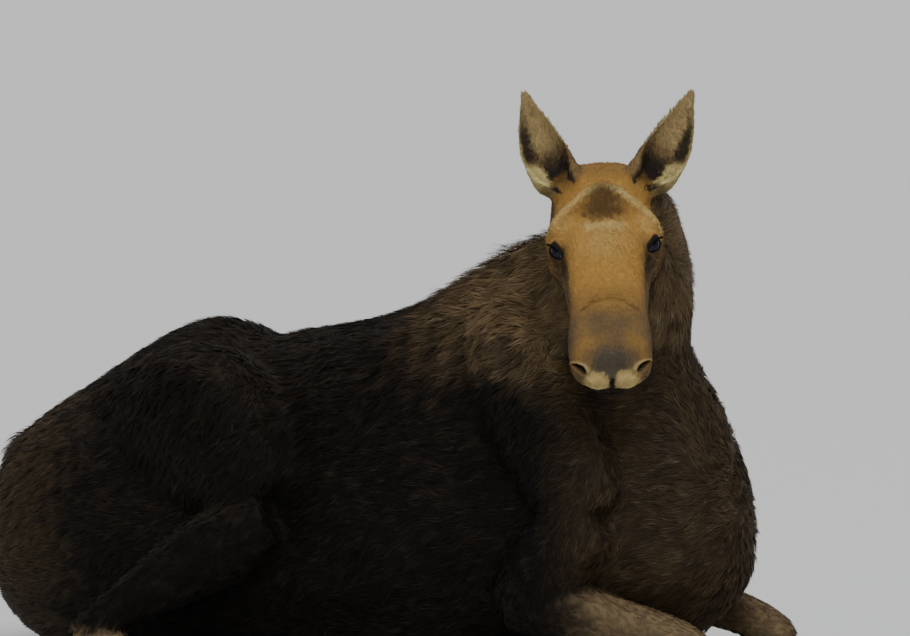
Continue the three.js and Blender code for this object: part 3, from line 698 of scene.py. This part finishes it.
def node(tree, kind, settings=None, inputs=None):
    made = tree.nodes.new(kind)
    for key, value in (settings or {}).items():
        setattr(made, key, value)
    for key, value in (inputs or {}).items():
        socket = made.inputs[key]
        if isinstance(value, bpy.types.NodeSocket):
            tree.links.new(value, socket)
        else:
            socket.default_value = value
    return made


def blended(tree, low, high, share, how="MIX"):
    made = node(tree, "ShaderNodeMix", {"data_type": "RGBA", "blend_type": how, "clamp_factor": True})
    for index, value in ((6, low), (7, high), (0, share)):
        if isinstance(value, bpy.types.NodeSocket):
            tree.links.new(value, made.inputs[index])
        else:
            made.inputs[index].default_value = value
    return made.outputs[2]


def number(tree, how, a, b=0.0, c=None):
    made = node(tree, "ShaderNodeMath", {"operation": how}, {0: a, 1: b})
    if c is not None:
        made.inputs[2].default_value = c
    return made.outputs[0]


def colour(red, green, blue):
    return (red, green, blue, 1.0)


COAT_TONES = {
    "Dark": colour(0.0028, 0.0021, 0.0019),
    "Brown": colour(0.150, 0.098, 0.046),
    "Tan": colour(0.275, 0.145, 0.034),
    "Cream": colour(0.43, 0.345, 0.145),
    "Black": colour(0.009, 0.007, 0.006),
    "Grey": colour(0.115, 0.088, 0.055),
}


def coat_tone_group():
    """Coat colour from the markings, broken up by fine and coarse mottling."""
    tree = bpy.data.node_groups.new("Moose coat tones", "ShaderNodeTree")
    face = tree.interface
    face.new_socket("Markings", in_out="INPUT", socket_type="NodeSocketColor")
    for name in ("Grey share", "Brown share", "Mottle", "Mottle size"):
        face.new_socket(name, in_out="INPUT", socket_type="NodeSocketFloat")
    for name, tone in COAT_TONES.items():
        face.new_socket(name, in_out="INPUT", socket_type="NodeSocketColor").default_value = tone
    face.new_socket("Colour", in_out="OUTPUT", socket_type="NodeSocketColor")
    face.new_socket("Mottling", in_out="OUTPUT", socket_type="NodeSocketFloat")
    given = tree.nodes.new("NodeGroupInput")
    place = tree.nodes.new("ShaderNodeTexCoord").outputs["Object"]
    noise = node(tree, "ShaderNodeTexNoise", None, {
        "Vector": place, "Scale": given.outputs["Mottle size"], "Detail": 5.0, "Roughness": 0.65,
    }).outputs["Fac"]
    shares = node(tree, "ShaderNodeSeparateColor", None, {"Color": given.outputs["Markings"]})
    tone = blended(tree, given.outputs["Dark"], given.outputs["Brown"], given.outputs["Brown share"])
    tone = blended(tree, tone, given.outputs["Grey"], given.outputs["Grey share"])
    tone = blended(tree, tone, given.outputs["Tan"], shares.outputs[0])
    tone = blended(tree, tone, given.outputs["Cream"], shares.outputs[1])
    tone = blended(tree, tone, given.outputs["Black"], shares.outputs[2])
    swing = number(tree, "SUBTRACT", noise, 0.5)
    swing = number(tree, "MULTIPLY", swing, given.outputs["Mottle"])
    swing = number(tree, "ADD", swing, 1.0)
    shade = node(tree, "ShaderNodeCombineColor", None, {"Red": swing, "Green": swing, "Blue": swing}).outputs[0]
    tone = blended(tree, tone, shade, 1.0, "MULTIPLY")
    out = tree.nodes.new("NodeGroupOutput")
    tree.links.new(tone, out.inputs["Colour"])
    tree.links.new(noise, out.inputs["Mottling"])
    return tree


def principled(name):
    material = bpy.data.materials.new(name)
    material.use_nodes = True
    tree = material.node_tree
    tree.nodes.clear()
    shader = tree.nodes.new("ShaderNodeBsdfPrincipled")
    out = tree.nodes.new("ShaderNodeOutputMaterial")
    tree.links.new(shader.outputs[0], out.inputs[0])
    return material, tree, shader


def marked_colour(tree, group, mottle, size):
    """The coat tone group, fed with this piece's own markings."""
    marks = node(tree, "ShaderNodeAttribute", {"attribute_name": "markings"})
    brown = node(tree, "ShaderNodeAttribute", {"attribute_name": "brown"})
    used = node(tree, "ShaderNodeGroup", {"node_tree": group}, {"Mottle": mottle, "Mottle size": size})
    tree.links.new(marks.outputs["Color"], used.inputs["Markings"])
    tree.links.new(marks.outputs["Alpha"], used.inputs["Grey share"])
    tree.links.new(brown.outputs["Fac"], used.inputs["Brown share"])
    for key, tone in COAT_TONES.items():
        used.inputs[key].default_value = tone
    return used


def skin_material(group):
    material, tree, shader = principled("short_coat_over_skin")
    used = marked_colour(tree, group, 0.45, 60.0)
    place = tree.nodes.new("ShaderNodeTexCoord").outputs["Object"]
    nap = node(tree, "ShaderNodeTexNoise", None, {"Vector": place, "Scale": 900.0, "Detail": 4.0, "Roughness": 0.7})
    relief = node(tree, "ShaderNodeBump", None, {
        "Height": nap.outputs["Fac"], "Strength": 0.55, "Distance": 0.0012,
    })
    tree.links.new(used.outputs["Colour"], shader.inputs["Base Color"])
    tree.links.new(relief.outputs[0], shader.inputs["Normal"])
    shader.inputs["Roughness"].default_value = 0.75
    shader.inputs["Specular IOR Level"].default_value = 0.12
    return material


def coat_material(group):
    material, tree, shader = principled("winter_coat")
    used = marked_colour(tree, group, 0.28, 45.0)
    strand = node(tree, "ShaderNodeAttribute", {"attribute_name": "strand"})
    shares = node(tree, "ShaderNodeSeparateColor", None, {"Color": strand.outputs["Color"]})
    spread = number(tree, "MULTIPLY_ADD", shares.outputs[0], 0.95, 0.52)
    # darker towards each blade's root: painted shade deep in the coat
    depth = number(tree, "MULTIPLY_ADD", shares.outputs[1], 0.55, 0.62)
    factor = number(tree, "MULTIPLY", spread, depth)
    shade = node(tree, "ShaderNodeCombineColor", None, {"Red": factor, "Green": factor, "Blue": factor}).outputs[0]
    tone = blended(tree, used.outputs["Colour"], shade, 1.0, "MULTIPLY")
    frosted = number(tree, "GREATER_THAN", shares.outputs[0], 0.86)
    frosted = number(tree, "MULTIPLY", frosted, shares.outputs[1])
    frosted = number(tree, "MULTIPLY", frosted, shares.outputs[2])
    tone = blended(tree, tone, colour(0.22, 0.17, 0.12), frosted)
    tree.links.new(tone, shader.inputs["Base Color"])
    shader.inputs["Roughness"].default_value = 0.62
    shader.inputs["Specular IOR Level"].default_value = 0.12
    return material


def eye_material():
    material, tree, shader = principled("wet_eye")
    place = node(tree, "ShaderNodeAttribute", {"attribute_name": "iris"})
    ring = node(tree, "ShaderNodeMapRange", None, {"Value": place.outputs["Fac"], 1: 0.30, 2: 0.42})
    edge = node(tree, "ShaderNodeMapRange", None, {"Value": place.outputs["Fac"], 1: 0.80, 2: 0.95})
    # a near-black ball; the faint blue of the ring round the pupil is a painted reflection
    tone = blended(tree, colour(0.002, 0.003, 0.006), colour(0.010, 0.011, 0.018), ring.outputs[0])
    tone = blended(tree, tone, colour(0.006, 0.006, 0.008), edge.outputs[0])
    # painted highlight: a pale strip on the wet ball at the front end of the slit
    painted_corner_glint = node(tree, "ShaderNodeAttribute", {"attribute_name": "painted_corner_glint"})
    tone = blended(tree, tone, colour(0.13, 0.14, 0.16), painted_corner_glint.outputs["Fac"])
    tree.links.new(tone, shader.inputs["Base Color"])
    shader.inputs["Roughness"].default_value = 0.05
    shader.inputs["Specular IOR Level"].default_value = 0.16
    return material


def horn_material():
    material, tree, shader = principled("hoof_horn")
    place = tree.nodes.new("ShaderNodeTexCoord").outputs["Object"]
    stretched = node(tree, "ShaderNodeMapping", None, {"Vector": place, "Scale": (0.25, 1.0, 1.0)}).outputs[0]
    growth = node(tree, "ShaderNodeTexNoise", None, {"Vector": stretched, "Scale": 380.0, "Detail": 4.0})
    scuffs = node(tree, "ShaderNodeTexNoise", None, {"Vector": place, "Scale": 60.0, "Detail": 6.0})
    tone = blended(tree, colour(0.010, 0.009, 0.008), colour(0.055, 0.045, 0.036), scuffs.outputs["Fac"])
    relief = node(tree, "ShaderNodeBump", None, {
        "Height": growth.outputs["Fac"], "Strength": 0.5, "Distance": 0.001,
    })
    rough = node(tree, "ShaderNodeMapRange", None, {"Value": scuffs.outputs["Fac"], 3: 0.35, 4: 0.65})
    tree.links.new(tone, shader.inputs["Base Color"])
    tree.links.new(rough.outputs[0], shader.inputs["Roughness"])
    tree.links.new(relief.outputs[0], shader.inputs["Normal"])
    return material


# ---------------------------------------------------------------- the coat

def coat_fields(points, triangles, part):
    """For each corner of the skin: the blurred length, depth, lift and direction of its coat."""
    table = np.array([[*LIE_OF_COAT[name][:3], *unit(LIE_OF_COAT[name][3])] for name in PARTS])
    fields = table[part]
    side = np.sign(points[:, 1])
    trunk = np.isin(part, [PARTS.index(n) for n in ("trunk", "thigh", "shoulder")])
    fields[:, 4] += 0.12 * side * trunk
    edges = neighbours(triangles)
    near_face = (head_share(points) > 0.9) & (to_head(points)[:, 0] > 0.03)
    fields = blur(fields, edges, 14, np.where(near_face, 0.12, 1.0))
    normals = normals_of(points, triangles)
    # a mane along the neck's crest and over the withers, and short hair from the lips to the brows
    crest = ramp(0.35, 0.8, normals[:, 2]) * ramp(0.10, 0.30, points[:, 0]) * ramp(0.6, 0.8, points[:, 2])
    crest = blur(crest * (1.0 - head_share(points)), edges, 6)
    own = to_head(points)
    muzzle = ramp(0.20, 0.48, own[:, 0]) * head_share(points)
    fields[:, 0] += 34.0 * crest - 4.5 * muzzle
    fields[:, 1] += 13.0 * crest - 1.0 * muzzle
    fields[:, 2] += 16.0 * crest
    # pressed flat where the body meets the floor
    pressed = ramp(0.05, 0.004, points[:, 2])
    fields[:, 1] = mix(fields[:, 1], 2.0, pressed)
    fields[:, 2] = mix(fields[:, 2], 3.0, pressed)
    return fields, edges


def lay_coat(name, skin, chosen, crowd, blades, spread, width, seed, material, centre, axis):
    """Tufts over the chosen triangles, so many to the square metre: each is a few blades from one root, that
    draw together towards the tip."""
    rng = np.random.default_rng(seed)
    triangles = skin["triangles"][chosen]
    corners = skin["points"][triangles]
    area = 0.5 * np.linalg.norm(np.cross(corners[:, 1] - corners[:, 0], corners[:, 2] - corners[:, 0]), axis=1)
    weight = area * skin["density"][triangles].mean(axis=1)
    count = min(int(weight.sum() * crowd), MOST_TRIANGLES // (3 * blades))
    picks = rng.choice(len(triangles), size=count, p=weight / weight.sum())
    a, b = rng.random(count), rng.random(count)
    over = a + b > 1
    a, b = np.where(over, 1 - a, a), np.where(over, 1 - b, b)
    shares = np.stack((1 - a - b, a, b), axis=1)[:, :, None]
    pick = triangles[picks]

    def at(field):
        return (skin[field][pick].reshape(count, 3, -1) * shares).sum(axis=1)

    root, normal, fields = at("points"), unit(at("normals")), at("fields")
    part = skin["part"][pick[:, 0]]
    length = fields[:, 0] * MM * rng.uniform(0.72, 1.2, count)
    lift = np.radians(fields[:, 2] * rng.uniform(0.55, 1.5, count))
    flow = fields[:, 3:6] + 0.22 * np.stack([ripple(root, 0.16, seed + k) for k in range(3)], axis=1) \
        + 0.10 * np.stack([ripple(root, 0.035, seed + 3 + k) for k in range(3)], axis=1)
    flow = unit(flow - normal * dot(flow, normal)[:, None])
    aside = np.cross(normal, flow)
    turn = rng.normal(0.0, 0.16, count)
    flow = flow * np.cos(turn)[:, None] + aside * np.sin(turn)[:, None]
    aside = np.cross(normal, flow)
    marks, brown = markings(root, normal, part, at("leg")[:, 0])

    # blades: (tuft, blade, 3)
    shape = (count, blades, 1)
    ring = rng.uniform(0.0, 2.0 * math.pi, shape)
    away = np.sqrt(rng.random(shape)) * spread * MM
    foot = root[:, None] + aside[:, None] * np.cos(ring) * away + flow[:, None] * np.sin(ring) * away
    reach = length[:, None, None] * rng.uniform(0.75, 1.1, shape)
    slant = lift[:, None, None] * rng.uniform(0.7, 1.3, shape)
    gather = (root[:, None] - foot) * 0.45
    sway = rng.normal(0.0, 0.10, shape) * reach

    def along(s, droop=0.55):
        return foot + gather * s ** 2 + flow[:, None] * reach * s * np.cos(slant) \
            + normal[:, None] * reach * (s - droop * s * s) * np.sin(slant) * 1.6 + aside[:, None] * sway * s * s

    twist = rng.normal(0.0, 0.55, shape)
    flat = aside[:, None] * np.cos(twist) + normal[:, None] * np.sin(twist)
    half = width * MM * 0.5 * rng.uniform(0.7, 1.2, shape)
    sink = normal[:, None] * 0.6 * MM
    middle, tip = along(0.5), along(1.0)
    points = np.stack((foot - sink - flat * half, foot - sink + flat * half,
                       middle - flat * half * 0.8, middle + flat * half * 0.8, tip), axis=2).reshape(-1, 3)
    points[:, 2] = np.maximum(points[:, 2], 0.0012)
    blade = np.arange(count * blades)[:, None, None] * 5
    triangles = (blade + np.array(((0, 2, 1), (1, 2, 3), (2, 4, 3)))[None]).reshape(-1, 3)

    strand = np.ones((count, blades, 5, 4))
    strand[..., 0] = np.clip(rng.random((count, 1, 1)) * 0.6 + rng.random((count, blades, 1)) * 0.4, 0, 1)
    # short hair lies evenly: its tufts differ less in tone than the long coat's
    even = in_parts(part, "head", "lower_jaw", "forearm", "shank", "fore_cannon", "hind_cannon")[:, None, None]
    # the second strand channel rises from root to tip, and the coat material darkens the roots by it: painted shade
    # deep in the coat
    strand[..., 1] = mix(np.array((0.0, 0.0, 0.55, 0.55, 1.0)), 0.62, 0.8 * even)
    strand[..., 0] = mix(strand[..., 0], 0.52, 0.70 * even)
    strand[..., 2] = np.where(in_parts(part, "head", "lower_jaw", "ear"), 0.0, np.clip(brown * 1.2, 0.1, 1.0))[:, None, None]
    marks = np.repeat(marks, blades * 5, axis=0)
    brown = np.repeat(brown, blades * 5)
    uv = unwrap(root, centre, axis)
    patch = 0.0015 * np.array(((-1, -1), (1, -1), (-0.8, 0.2), (0.8, 0.2), (0, 1)))
    uv = (uv[:, None, None, :] + patch[None, None]).repeat(blades, axis=1).reshape(-1, 2)
    obj = make_object(name, points, triangles, material, {"markings": marks, "strand": strand.reshape(-1, 4)},
                      {"brown": brown}, uv)
    facing = normal[:, None] * np.cos(twist) - aside[:, None] * np.sin(twist)
    shading = unit(normal[:, None] * 0.8 + facing * 0.35 + flow[:, None] * 0.18).reshape(-1, 3)
    obj.data.normals_split_custom_set_from_vertices(np.repeat(shading, 5, axis=0).tolist())
    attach(obj, "root")
    return obj


def unwrap(points, centre, axis):
    """The skin rolled off round an axis of its own: the angle across, the way along it up."""
    axis = unit(axis)
    start = unit(np.cross(axis, (0.0, 0.0, 1.0) if abs(axis[2]) < 0.9 else (1.0, 0.0, 0.0)))
    third = np.cross(axis, start)
    away = points - centre
    angle = np.arctan2(away @ third, away @ start) / (2.0 * math.pi) + 0.5
    height = away @ axis
    low, high = height.min(), height.max()
    return np.stack((0.01 + 0.98 * angle, 0.01 + 0.98 * (height - low) / max(high - low, 1e-6)), axis=1)


# ---------------------------------------------------------------- eyes and hooves

def eyeball(side, material):
    """A ball with a raised cornea, each point's distance from the pupil, and a painted highlight at the front end of
    the slit.
    """
    centre, gaze, slit, _ = eye_frame(side)
    mesh = bmesh.new()
    bmesh.ops.create_uvsphere(mesh, u_segments=64, v_segments=40, radius=1.0)
    turn = Vector((0, 0, 1)).rotation_difference(Vector(gaze)).to_matrix().to_4x4()
    bmesh.ops.transform(mesh, matrix=turn, verts=mesh.verts)
    bmesh.ops.triangulate(mesh, faces=mesh.faces)
    work = bpy.data.meshes.new("ball")
    mesh.to_mesh(work)
    mesh.free()
    directions, triangles = read_mesh(work)
    bpy.data.meshes.remove(work)
    off = np.arccos(np.clip(directions @ gaze, -1, 1))
    radius = EYE_RADIUS * (1.0 + 0.055 * ramp(0.75, 0.2, off))
    points = from_head(centre + directions * radius[:, None])
    name = "eyeball_" + ("left" if side > 0 else "right")
    # a painted highlight: the pale strip on the ball at the front end of the slit
    painted_corner_glint = ramp(-0.72, -0.80, directions @ slit)
    obj = make_object(name, points, triangles, material,
                      values={"iris": np.clip(off / 0.95, 0, 1), "painted_corner_glint": painted_corner_glint})
    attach(obj, "root")
    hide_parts("eye_" + ("left" if side > 0 else "right"))
    return obj


def lashes(side, material):
    """A fringe of long dark hairs along the upper lid."""
    rng = np.random.default_rng(60 + side)
    centre, gaze, slit, up = eye_frame(side)
    count = 190
    share = rng.uniform(-0.55, 1.0, count)
    along = share * 17.0 * MM
    over = 10.0 * MM * np.sqrt(np.maximum(1.0 - share ** 2, 0.0)) + rng.uniform(-0.5, 1.5, count) * MM
    level = np.sqrt(np.maximum((EYE_RADIUS + 0.5 * MM) ** 2 - along ** 2 - over ** 2, 0.0))
    root = centre + along[:, None] * slit + over[:, None] * up + level[:, None] * gaze
    way = unit(gaze + (0.15 + 0.55 * share)[:, None] * slit + rng.uniform(-0.15, 0.25, count)[:, None] * up)
    length = (9.0 + 7.0 * ramp(-0.5, 0.7, share)) * rng.uniform(0.8, 1.1, count) * MM
    aside = unit(np.cross(way, up)) * 0.6 * MM
    middle = root + way * length[:, None] * 0.5 - up * length[:, None] * 0.10
    tip = root + way * length[:, None] - up * length[:, None] * 0.05
    points = from_head(np.stack((root - aside, root + aside, middle - aside, middle + aside, tip), axis=1))
    triangles = np.arange(count)[:, None, None] * 5 + np.array(((0, 2, 1), (1, 2, 3), (2, 4, 3)))[None]
    strand = np.tile((0.4, 0.5, 0.0, 1.0), (count * 5, 1))
    patch = 0.0015 * np.array(((-1, -1), (1, -1), (-0.8, 0.2), (0.8, 0.2), (0, 1)))
    uv = (np.stack((0.5 + 20.0 * along, 0.5 + 20.0 * over), axis=1)[:, None] + patch).reshape(-1, 2)
    obj = make_object("lashes_" + ("left" if side > 0 else "right"), points.reshape(-1, 3), triangles.reshape(-1, 3),
                      material, {"markings": np.tile((0.0, 0.0, 1.0, 0.0), (count * 5, 1)), "strand": strand},
                      {"brown": np.zeros(count * 5)}, uv)
    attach(obj, "root")


# ---------------------------------------------------------------- putting it together

def build_skin():
    flesh = joined_flesh()
    points, triangles = body_skin(flesh)
    points, triangles = refined(points, triangles, wants_detail(points))
    part = nearest_part(points, flesh)
    points = snap_ears(points, part, flesh)
    fields, edges = coat_fields(points, triangles, part)
    depth = fields[:, 1] * MM
    points = points - normals_of(points, triangles) * depth[:, None]
    points = blur(points, edges, 2)
    points = sculpt_head(points, triangles)
    points[:, 2] = np.maximum(points[:, 2], 0.001)
    tree = BVHTree.FromPolygons(points.tolist(), triangles.tolist())
    lidded = [lid_patch(side, tree) for side in (1, -1)]
    away = np.linalg.norm(eye_distance(to_head(points)), axis=1)
    density = np.where(away < 0.031, 0.0, 1.0)
    own = to_head(points)
    along, beside, _ = nostril_place(own)
    bare = (np.hypot(along, beside) < 1.35) & (np.abs(own[:, 1]) > 0.03)
    pad = (np.abs(own[:, 1]) < 0.030) & (own[:, 2] > 0.018) & (own[:, 2] < 0.040)
    cleft = (np.abs(own[:, 1]) < 0.0055) & (own[:, 2] < 0.03)
    bare = (bare | pad | cleft) & (own[:, 0] > 0.575) & (head_share(points) > 0.9)
    density = np.where(bare, 0.0, density)
    density = density * ramp(0.0035, 0.012, points[:, 2])
    for lid_points, lid_triangles, shares in lidded:
        start = len(points)
        points = np.concatenate((points, lid_points))
        triangles = np.concatenate((triangles, lid_triangles + start))
        part = np.concatenate((part, np.full(len(lid_points), PARTS.index("head"))))
        lid_fields = np.tile(np.array((4.5, 1.0, 9.0, *(-HEAD_AXES[0]))), (len(lid_points), 1))
        lid_fields[:, 0] += 4.0 * ramp(0.3, 0.8, shares)
        fields = np.concatenate((fields, lid_fields))
        density = np.concatenate((density, ramp(0.12, 0.3, shares) * ramp(1.0, 0.9, shares)))
    leg = 1.0 * in_parts(part, "fore_cannon", "hind_cannon") \
        + 0.95 * in_parts(part, "forearm") * ramp(0.52, 0.78, points[:, 0])
    leg = blur(leg, neighbours(triangles), 14) * ramp(0.29, 0.20, points[:, 2])
    normals = normals_of(points, triangles)
    return {"points": points, "triangles": triangles, "part": part, "fields": fields,
            "density": density, "normals": normals, "leg": leg}


def in_parts(part, *names):
    return np.isin(part, [PARTS.index(name) for name in names])


def build_coat(skin, material):
    middle = skin["points"][skin["triangles"]].mean(axis=1)
    part = skin["part"][skin["triangles"][:, 0]]
    own = to_head(middle)
    head = in_parts(part, "head", "lower_jaw")
    right = middle[:, 1] < 0
    fore = in_parts(part, "trunk", "shoulder", "upper_arm") & (middle[:, 0] > 0.36)
    rump = in_parts(part, "trunk", "thigh", "tail") & (middle[:, 0] < -0.12)
    side = in_parts(part, "trunk", "shoulder", "thigh", "upper_arm") & ~fore & ~rump
    legs = in_parts(part, "shank", "forearm", "fore_cannon", "hind_cannon")
    trunk_line = ((0.0, 0.0, 0.35), (1.0, 0.0, 0.0))
    head_line = (HEAD_AT, HEAD_AXES[0])
    neck_line = ((0.58, -0.02, 0.8), (0.3, -0.1, 0.9))
    # tufts to the square metre, blades to a tuft, spread of the blades' feet and blade width in millimetres
    plan = [
        ("coat_face", head & (own[:, 0] > 0.21), 60000, 4, 1.9, 0.95, head_line),
        ("coat_crown", head & (own[:, 0] <= 0.21), 60000, 5, 2.6, 1.0, head_line),
        ("coat_ears", part == PARTS.index("ear"), 76000, 4, 2.2, 0.75, head_line),
        ("coat_neck", in_parts(part, "neck", "bell"), 36000, 6, 7.0, 1.3, neck_line),
        ("coat_fore_right", fore & right, 18000, 6, 7.5, 1.6, trunk_line),
        ("coat_fore_left", fore & ~right, 10000, 6, 8.0, 2.1, trunk_line),
        ("coat_side_right", side & right, 14500, 6, 7.5, 1.7, trunk_line),
        ("coat_side_left", side & ~right, 8800, 6, 8.0, 2.2, trunk_line),
        ("coat_rump_right", rump & right, 14500, 6, 7.5, 1.7, trunk_line),
        ("coat_rump_left", rump & ~right, 8500, 6, 8.0, 2.2, trunk_line),
        ("coat_legs", legs, 15000, 5, 4.0, 1.5, trunk_line),
    ]
    for seed, (name, chosen, crowd, blades, spread, width, (centre, axis)) in enumerate(plan):
        lay_coat(name, skin, chosen, crowd, blades, spread, width, 100 + seed, material,
                 np.array(centre), np.array(axis))


def build_stage():
    floor_material, tree, shader = principled("studio_floor")
    shader.inputs["Base Color"].default_value = colour(0.62, 0.62, 0.61)
    shader.inputs["Roughness"].default_value = 0.9
    size = 300.0
    points = np.array(((-size, -size, 0), (size, -size, 0), (size, size, 0), (-size, size, 0)), dtype=float)
    floor = make_object("studio_floor", points, np.array(((0, 1, 2), (0, 2, 3))), floor_material)
    world = bpy.data.worlds.new("studio")
    bpy.context.scene.world = world
    world.use_nodes = True
    world.node_tree.nodes["Background"].inputs[0].default_value = colour(0.80, 0.82, 0.85)
    world.node_tree.nodes["Background"].inputs[1].default_value = 0.84
    data = bpy.data.lights.new("overhead", "SUN")
    data.energy = 1.9
    data.angle = math.radians(35.0)
    data.color = (1.0, 0.985, 0.96)
    light = bpy.data.objects.new("overhead", data)
    light.rotation_euler = (Vector((0.0, 0.0, 0.0)) - Vector((0.35, -0.75, 1.3))).to_track_quat("-Z", "Y").to_euler()
    light.visible_glossy = False
    bpy.context.scene.collection.objects.link(light)


def add_light(name, place, target, size, power, tint=(1.0, 1.0, 1.0)):
    data = bpy.data.lights.new(name, "AREA")
    data.size = size
    data.energy = power
    data.color = tint
    light = bpy.data.objects.new(name, data)
    light.location = place
    light.rotation_euler = (Vector(target) - Vector(place)).to_track_quat("-Z", "Y").to_euler()
    bpy.context.scene.collection.objects.link(light)


def build_camera():
    azimuth, elevation = math.radians(VIEW_AZIMUTH), math.radians(VIEW_ELEVATION)
    back = Vector((math.sin(azimuth) * math.cos(elevation), -math.cos(azimuth) * math.cos(elevation), math.sin(elevation)))
    right = Vector((math.cos(azimuth), math.sin(azimuth), 0.0))
    up = back.cross(right)
    data = bpy.data.cameras.new("camera")
    data.sensor_width = 36.0
    data.lens = 36.0 * PIXELS_PER_METRE * VIEW_DISTANCE / FRAME_WIDTH
    data.clip_end = 1000.0
    camera = bpy.data.objects.new("camera", data)
    camera.matrix_world = Matrix((right, up, back)).transposed().to_4x4()
    camera.location = back * VIEW_DISTANCE - right * ((FLOOR_PIXEL[0] - FRAME_WIDTH / 2) / PIXELS_PER_METRE) \
        - up * ((FRAME_HEIGHT / 2 - FLOOR_PIXEL[1]) / PIXELS_PER_METRE)
    bpy.context.scene.collection.objects.link(camera)
    bpy.context.scene.camera = camera


build_camera()
build_stage()
add_light("window", (3.2, -4.6, 3.4), (0.7, -0.2, 0.9), 1.6, 90.0, (0.80, 0.90, 1.0))

tones = coat_tone_group()
skin_finish = skin_material(tones)
coat_finish = coat_material(tones)
eye_finish = eye_material()
horn_finish = horn_material()

skin = build_skin()
skin_marks, skin_brown = markings(skin["points"], skin["normals"], skin["part"], skin["leg"])
skin_object = make_object("moose_skin", skin["points"], skin["triangles"], skin_finish,
                          {"markings": skin_marks}, {"brown": skin_brown})
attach(skin_object, "root")
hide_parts(*flesh_nodes())
for eye_side in (1, -1):
    eyeball(eye_side, eye_finish)
    lashes(eye_side, coat_finish)
build_coat(skin, coat_finish)
for node_name, node_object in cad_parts.items():
    if node_name.startswith(("hoof_", "dewclaw_")):
        node_object.data.materials.clear()
        node_object.data.materials.append(horn_finish)
